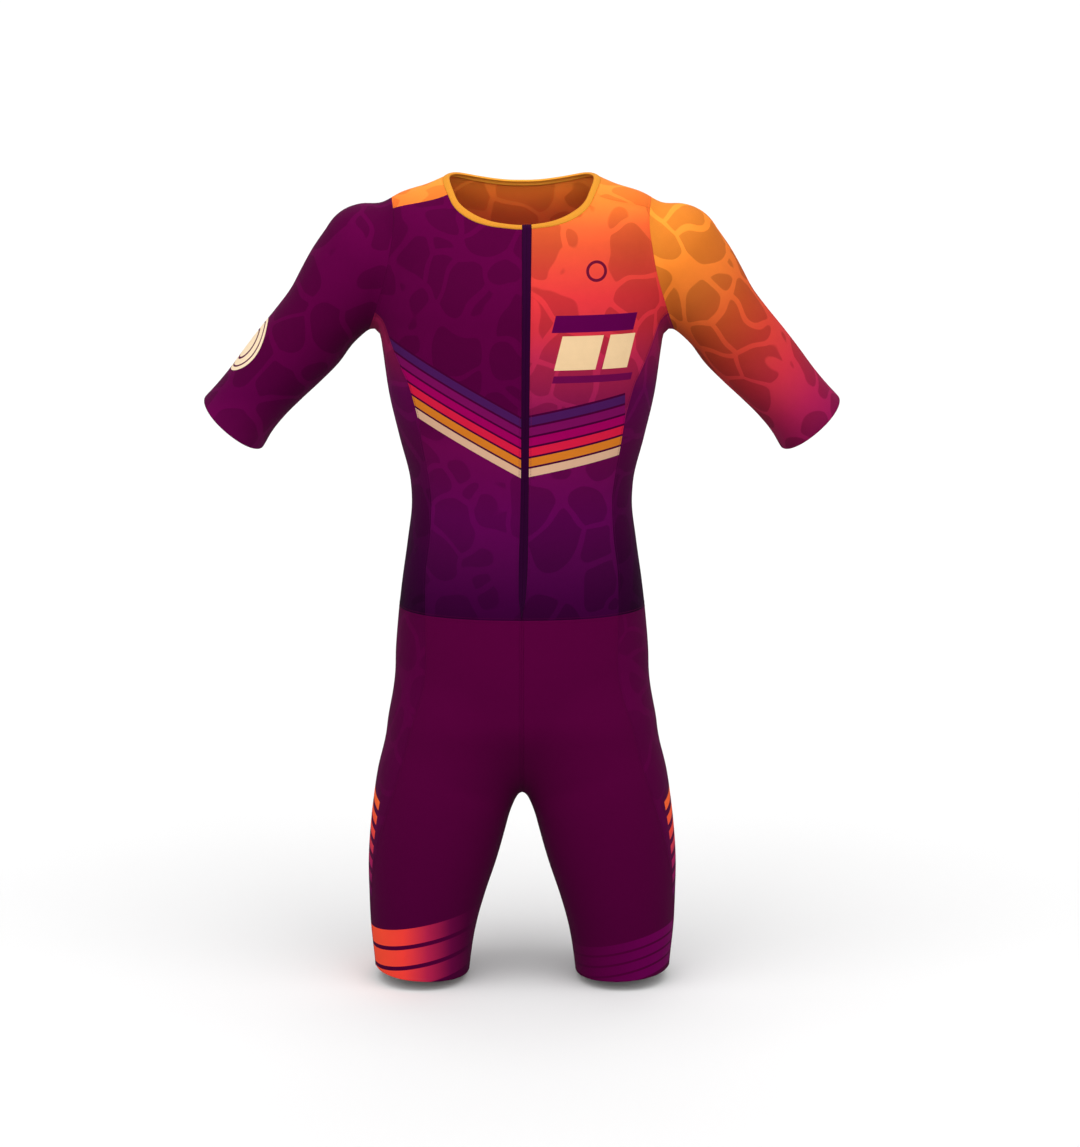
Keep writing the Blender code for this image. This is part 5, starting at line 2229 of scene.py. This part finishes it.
class StitchTree:
    """The Geometry Nodes tree that lays stitches along lines."""

    def __init__(self) -> None:
        """Build the tree with its named inputs."""
        group = bpy.data.node_groups.new("Stitches along lines", "GeometryNodeTree")
        face = group.interface
        face.new_socket("Lines", in_out="INPUT", socket_type="NodeSocketGeometry")
        self.keys: Dict[str, str] = {}
        for label, value in (("Pitch", 0.003), ("Length", 0.0023), ("Radius", 0.00022), ("Slant", 0.0)):
            socket = face.new_socket(label, in_out="INPUT", socket_type="NodeSocketFloat")
            socket.default_value = value
            self.keys[label] = socket.identifier
        socket = face.new_socket("Thread", in_out="INPUT", socket_type="NodeSocketMaterial")
        self.keys["Thread"] = socket.identifier
        face.new_socket("Stitches", in_out="OUTPUT", socket_type="NodeSocketGeometry")
        tree = Tree(group)
        given = tree.add("NodeGroupInput").outputs
        up = tree.add("GeometryNodeInputNamedAttribute", {0: "up"}, data_type="FLOAT_VECTOR").outputs[0]
        lines = tree.add("GeometryNodeMeshToCurve", {0: given["Lines"]}).outputs[0]
        even = tree.add(
            "GeometryNodeResampleCurve", {"Curve": lines, "Length": given["Pitch"]}, mode="LENGTH"
        ).outputs[0]
        tangent = tree.add("GeometryNodeInputTangent").outputs[0]
        turn = tree.add("FunctionNodeAlignRotationToVector", {"Vector": tangent}, axis="X").outputs[0]
        turn = tree.add(
            "FunctionNodeAlignRotationToVector",
            {"Rotation": turn, "Vector": up},
            axis="Z",
            pivot_axis="X",
        ).outputs[0]
        bead = tree.add(
            "GeometryNodeMeshCylinder",
            {"Vertices": 5, "Radius": given["Radius"], "Depth": given["Length"]},
        ).outputs[0]
        lying = tree.add("GeometryNodeTransform", {"Geometry": bead, "Rotation": (0.0, math.pi / 2.0, 0.0)})
        slant = tree.add("ShaderNodeCombineXYZ", {2: given["Slant"]}).outputs[0]
        slanted = tree.add("GeometryNodeTransform", {"Geometry": lying.outputs[0], "Rotation": slant})
        placed = tree.add(
            "GeometryNodeInstanceOnPoints",
            {"Points": even, "Instance": slanted.outputs[0], "Rotation": turn},
        ).outputs[0]
        real = tree.add("GeometryNodeRealizeInstances", {0: placed}).outputs[0]
        dressed = tree.add("GeometryNodeSetMaterial", {"Geometry": real, "Material": given["Thread"]})
        result = tree.add("NodeGroupOutput").inputs
        tree.feed(result["Stitches"], dressed.outputs[0])
        self.group = group


@dataclass
class StitchRows:
    """Rows of stitches laid along seam lines and turned into one plain mesh."""

    name: str
    lines: List[Tuple[np.ndarray, float]]
    finish: ThreadFinish
    slot: str
    pitch: float = 0.0030
    length: float = 0.0024
    radius: float = 0.00016
    slant: float = 0.0
    proud: float = 0.00006

    def place(self, form: Form, tree: StitchTree, effects: Effects) -> bpy.types.Object:
        """Args:
            form: The form that the lines lie on.
            tree: The stitch tree.
            effects: The shared node groups.

        Returns:
            The plain mesh object.
        """
        vertices: List[np.ndarray] = []
        edges: List[Tuple[int, int]] = []
        ups: List[np.ndarray] = []
        start = 0
        for curve, aside in self.lines:
            normals = form.normal(curve)
            ahead = unit(np.gradient(curve, axis=0))
            points = form.settle(curve + np.cross(normals, ahead) * aside, 3)
            normals = form.normal(points)
            lift = SUIT_CREASES.lift(points) + self.proud
            vertices.append(points + normals * lift[:, None])
            ups.append(normals)
            edges += [(start + step, start + step + 1) for step in range(len(points) - 1)]
            start += len(points)
        mesh = bpy.data.meshes.new(self.name + "_lines")
        mesh.from_pydata(np.vstack(vertices).tolist(), edges, [])
        mark = mesh.attributes.new("up", "FLOAT_VECTOR", "POINT")
        mark.data.foreach_set("vector", np.vstack(ups).astype(np.float32).ravel())
        lines = bpy.data.objects.new(self.name + "_lines", mesh)
        bpy.context.scene.collection.objects.link(lines)
        modifier = lines.modifiers.new("stitches", "NODES")
        modifier.node_group = tree.group
        sizes = {"Pitch": self.pitch, "Length": self.length, "Radius": self.radius, "Slant": self.slant}
        for label, value in sizes.items():
            modifier[tree.keys[label]] = value
        modifier[tree.keys["Thread"]] = self.finish.material(effects)
        made = plain_mesh(lines, self.name)
        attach(made, "root")
        LOG.info("%s: %d faces", made.name, len(made.data.polygons))
        return made


def plain_mesh(source: bpy.types.Object, name: str) -> bpy.types.Object:
    """The evaluated object as a plain mesh object; the source is removed.

    Args:
        source: The object with its live modifier.
        name: Name of the new object.

    Returns:
        The new object.
    """
    bpy.context.view_layer.update()
    evaluated = source.evaluated_get(bpy.context.evaluated_depsgraph_get())
    mesh = bpy.data.meshes.new_from_object(evaluated)
    mesh.name = name
    source.modifiers.clear()
    bpy.data.objects.remove(source, do_unlink=True)
    made = bpy.data.objects.new(name, mesh)
    bpy.context.scene.collection.objects.link(made)
    return made


@dataclass
class Sewing:
    """All stitch rows of the suit and the zip's coil."""

    pattern: Pattern
    aside: float = 0.0021
    trim_aside: float = 0.0022
    coil_start: float = 0.06

    def rows(self) -> List[StitchRows]:
        """The rows, one piece for each thread colour.

        Returns:
            The rows.
        """
        pattern, aside, trim = self.pattern, self.aside, self.trim_aside
        left, right = pattern.zip_edge(1.0), pattern.zip_edge(-1.0)
        neck_left = pattern.neck_front(left.end).curve
        neck_right = pattern.neck_front(right.end * MIRROR).curve * MIRROR
        neck_back, arm_back, side_back = (
            pattern.neck_back.curve, pattern.arm_back.curve, pattern.side_back.curve
        )
        warm = [
            (pattern.arm_front.curve, -aside),
            (pattern.arm_under.curve, -aside),
            (arm_back, -aside),
            (arm_back * MIRROR, aside),
            (side_back, -aside),
            (side_back * MIRROR, aside),
            (left.curve, -trim),
            (neck_left, trim),
            (pattern.shoulder.curve, -aside),
            (pattern.shoulder.curve, aside),
            (neck_back, trim),
            (neck_back * MIRROR, -trim),
        ]
        plum = [
            (pattern.arm_front.curve * MIRROR, aside),
            (pattern.arm_under.curve * MIRROR, aside),
            (right.curve, trim),
            (neck_right, -trim),
        ]
        plum += self._both_sides([pattern.side_front])
        shorts = self._both_sides([
            pattern.waist_front,
            pattern.waist_side,
            pattern.waist_back,
            pattern.shorts_front,
            pattern.shorts_back,
            pattern.centre_front,
            pattern.centre_back,
            pattern.inseam,
        ])
        shorts_thread = ThreadFinish("shorts_thread", SHORTS_PLUM_PAINTED_SHADE, span=1.0)
        return [
            StitchRows("stitches_warm", warm, ThreadFinish("warm_thread", SUNSET), "back_cloth"),
            StitchRows("stitches_plum", plum, ThreadFinish("plum_thread", TOP_PLUM), "front_right_cloth"),
            StitchRows("stitches_shorts", shorts, shorts_thread, "shorts_front_left_cloth"),
        ]

    def _both_sides(self, seams: Sequence[Seam]) -> List[Tuple[np.ndarray, float]]:
        """Lines on both sides of seams and of their mirror images.

        Args:
            seams: Seams of the left half.

        Returns:
            Each line with how far it lies aside.
        """
        curves = [curve for seam in seams for curve in (seam.curve, seam.curve * MIRROR)]
        return [(curve, aside) for curve in curves for aside in (-self.aside, self.aside)]

    def coil(self) -> StitchRows:
        """The zip's coil between the two flaps.

        Returns:
            The coil, as stitches laid across.
        """
        shares = np.linspace(self.coil_start, 1.0, self.pattern.fine)
        left, right = [resample(self.pattern.zip_edge(side).curve, shares) for side in (1.0, -1.0)]
        middle = self.pattern.form.settle((left + right) / 2.0)
        return StitchRows(
            "zip_coil",
            [(middle, 0.0)],
            ThreadFinish("coil_thread", NIGHT, span=1.0),
            "zip_cloth",
            pitch=0.0016,
            length=0.0012,
            radius=0.00034,
            slant=math.pi / 2.0,
            proud=0.0001,
        )


@dataclass(frozen=True)
class Studio:
    """Pale floor, soft light and the camera at the photograph's angle."""

    camera_place: Tuple[float, float, float] = (0.0207, -4.4, 0.414)
    camera_aim: Tuple[float, float, float] = (0.0207, 0.0, -0.461)
    lens: float = 122.44
    sensor_width: float = 36.0
    floor_drop: float = 0.0070
    floor_size: float = 160.0
    floor_seen: float = 0.83
    floor_bounce: float = 0.34
    floor_roughness: float = 0.9
    dome: float = 0.38
    lamp_spread: float = 60.0
    lamps: Tuple[Tuple[str, float, float, float], ...] = (
        ("top", 0.0, 80.0, 0.46),
        ("front", 0.0, 8.0, 0.26),
        ("front_right", -52.0, 28.0, 0.31),
        ("front_left", 52.0, 28.0, 0.31),
        ("rear", 180.0, 35.0, 0.16),
    )

    def build(self, lowest: float) -> None:
        """Make the floor, the lights and the camera.

        Args:
            lowest: Height of the object's lowest point.
        """
        self._floor(lowest)
        self._lights()
        self._camera()
        bpy.context.scene.view_settings.view_transform = "Standard"

    def _floor(self, lowest: float) -> None:
        """A plain pale floor that shows paler to the camera.

        Args:
            lowest: Height of the object's lowest point.
        """
        half = self.floor_size / 2.0
        z = lowest - self.floor_drop
        mesh = bpy.data.meshes.new("floor")
        corners = [(-half, -half, z), (half, -half, z), (half, half, z), (-half, half, z)]
        mesh.from_pydata(corners, [], [(0, 1, 2, 3)])
        floor = bpy.data.objects.new("floor", mesh)
        bpy.context.scene.collection.objects.link(floor)
        material, tree, shader = new_material("pale_floor")
        seen = tree.add("ShaderNodeLightPath").outputs["Is Camera Ray"]
        dull = (self.floor_bounce,) * 3 + (1.0,)
        pale = (self.floor_seen,) * 3 + (1.0,)
        tree.feed(shader["Base Color"], tree.mix(seen, dull, pale))
        shader["Roughness"].default_value = self.floor_roughness
        shader["Specular IOR Level"].default_value = 0.0
        mesh.materials.append(material)
        floor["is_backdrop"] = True

    def _lights(self) -> None:
        """A low dome of light and wide soft suns."""
        world = bpy.data.worlds.new("studio")
        world.use_nodes = True
        back = world.node_tree.nodes["Background"]
        back.inputs["Color"].default_value = (1.0, 1.0, 1.0, 1.0)
        tree = Tree(world.node_tree)
        seen = tree.add("ShaderNodeLightPath").outputs["Is Camera Ray"]
        tree.feed(back.inputs["Strength"], tree.math("MULTIPLY_ADD", seen, 1.0 - self.dome, self.dome))
        bpy.context.scene.world = world
        for name, azimuth, height, brightness in self.lamps:
            lamp = bpy.data.lights.new(name, "SUN")
            lamp.angle = math.radians(self.lamp_spread)
            lamp.energy = brightness * math.pi
            holder = bpy.data.objects.new(name, lamp)
            turn, rise = math.radians(azimuth), math.radians(height)
            towards = Vector((
                math.sin(turn) * math.cos(rise), -math.cos(turn) * math.cos(rise), math.sin(rise)
            ))
            holder.rotation_euler = towards.to_track_quat("Z", "Y").to_euler()
            bpy.context.scene.collection.objects.link(holder)

    def _camera(self) -> None:
        """The camera, at the photograph's angle."""
        data = bpy.data.cameras.new("camera")
        data.lens = self.lens
        data.sensor_width = self.sensor_width
        data.sensor_fit = "AUTO"
        camera = bpy.data.objects.new("camera", data)
        camera.location = self.camera_place
        aim = Vector(self.camera_aim) - Vector(self.camera_place)
        camera.rotation_euler = aim.to_track_quat("-Z", "Y").to_euler()
        bpy.context.scene.collection.objects.link(camera)
        bpy.context.scene.camera = camera


def plain(box: Sequence[Sequence[float]]) -> List[List[float]]:
    """A box's two corners as plain lists."""
    return [[float(value) for value in corner] for corner in box]


def main() -> None:
    """Build every piece around the frame, in order."""
    logging.basicConfig(level=logging.INFO, format="%(message)s")
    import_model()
    form = Form()
    pattern = Pattern(form)
    effects = Effects()
    for assembly in (Top(pattern), Sleeves(pattern), Shorts(pattern), NeckTrim(pattern)):
        for piece in assembly.pieces():
            piece.place(effects)
    tree = StitchTree()
    sewing = Sewing(pattern)
    for rows in sewing.rows() + [sewing.coil()]:
        rows.place(form, tree, effects)
    Studio().build(plain(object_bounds())[0][2])


if __name__ == "__main__":
    main()
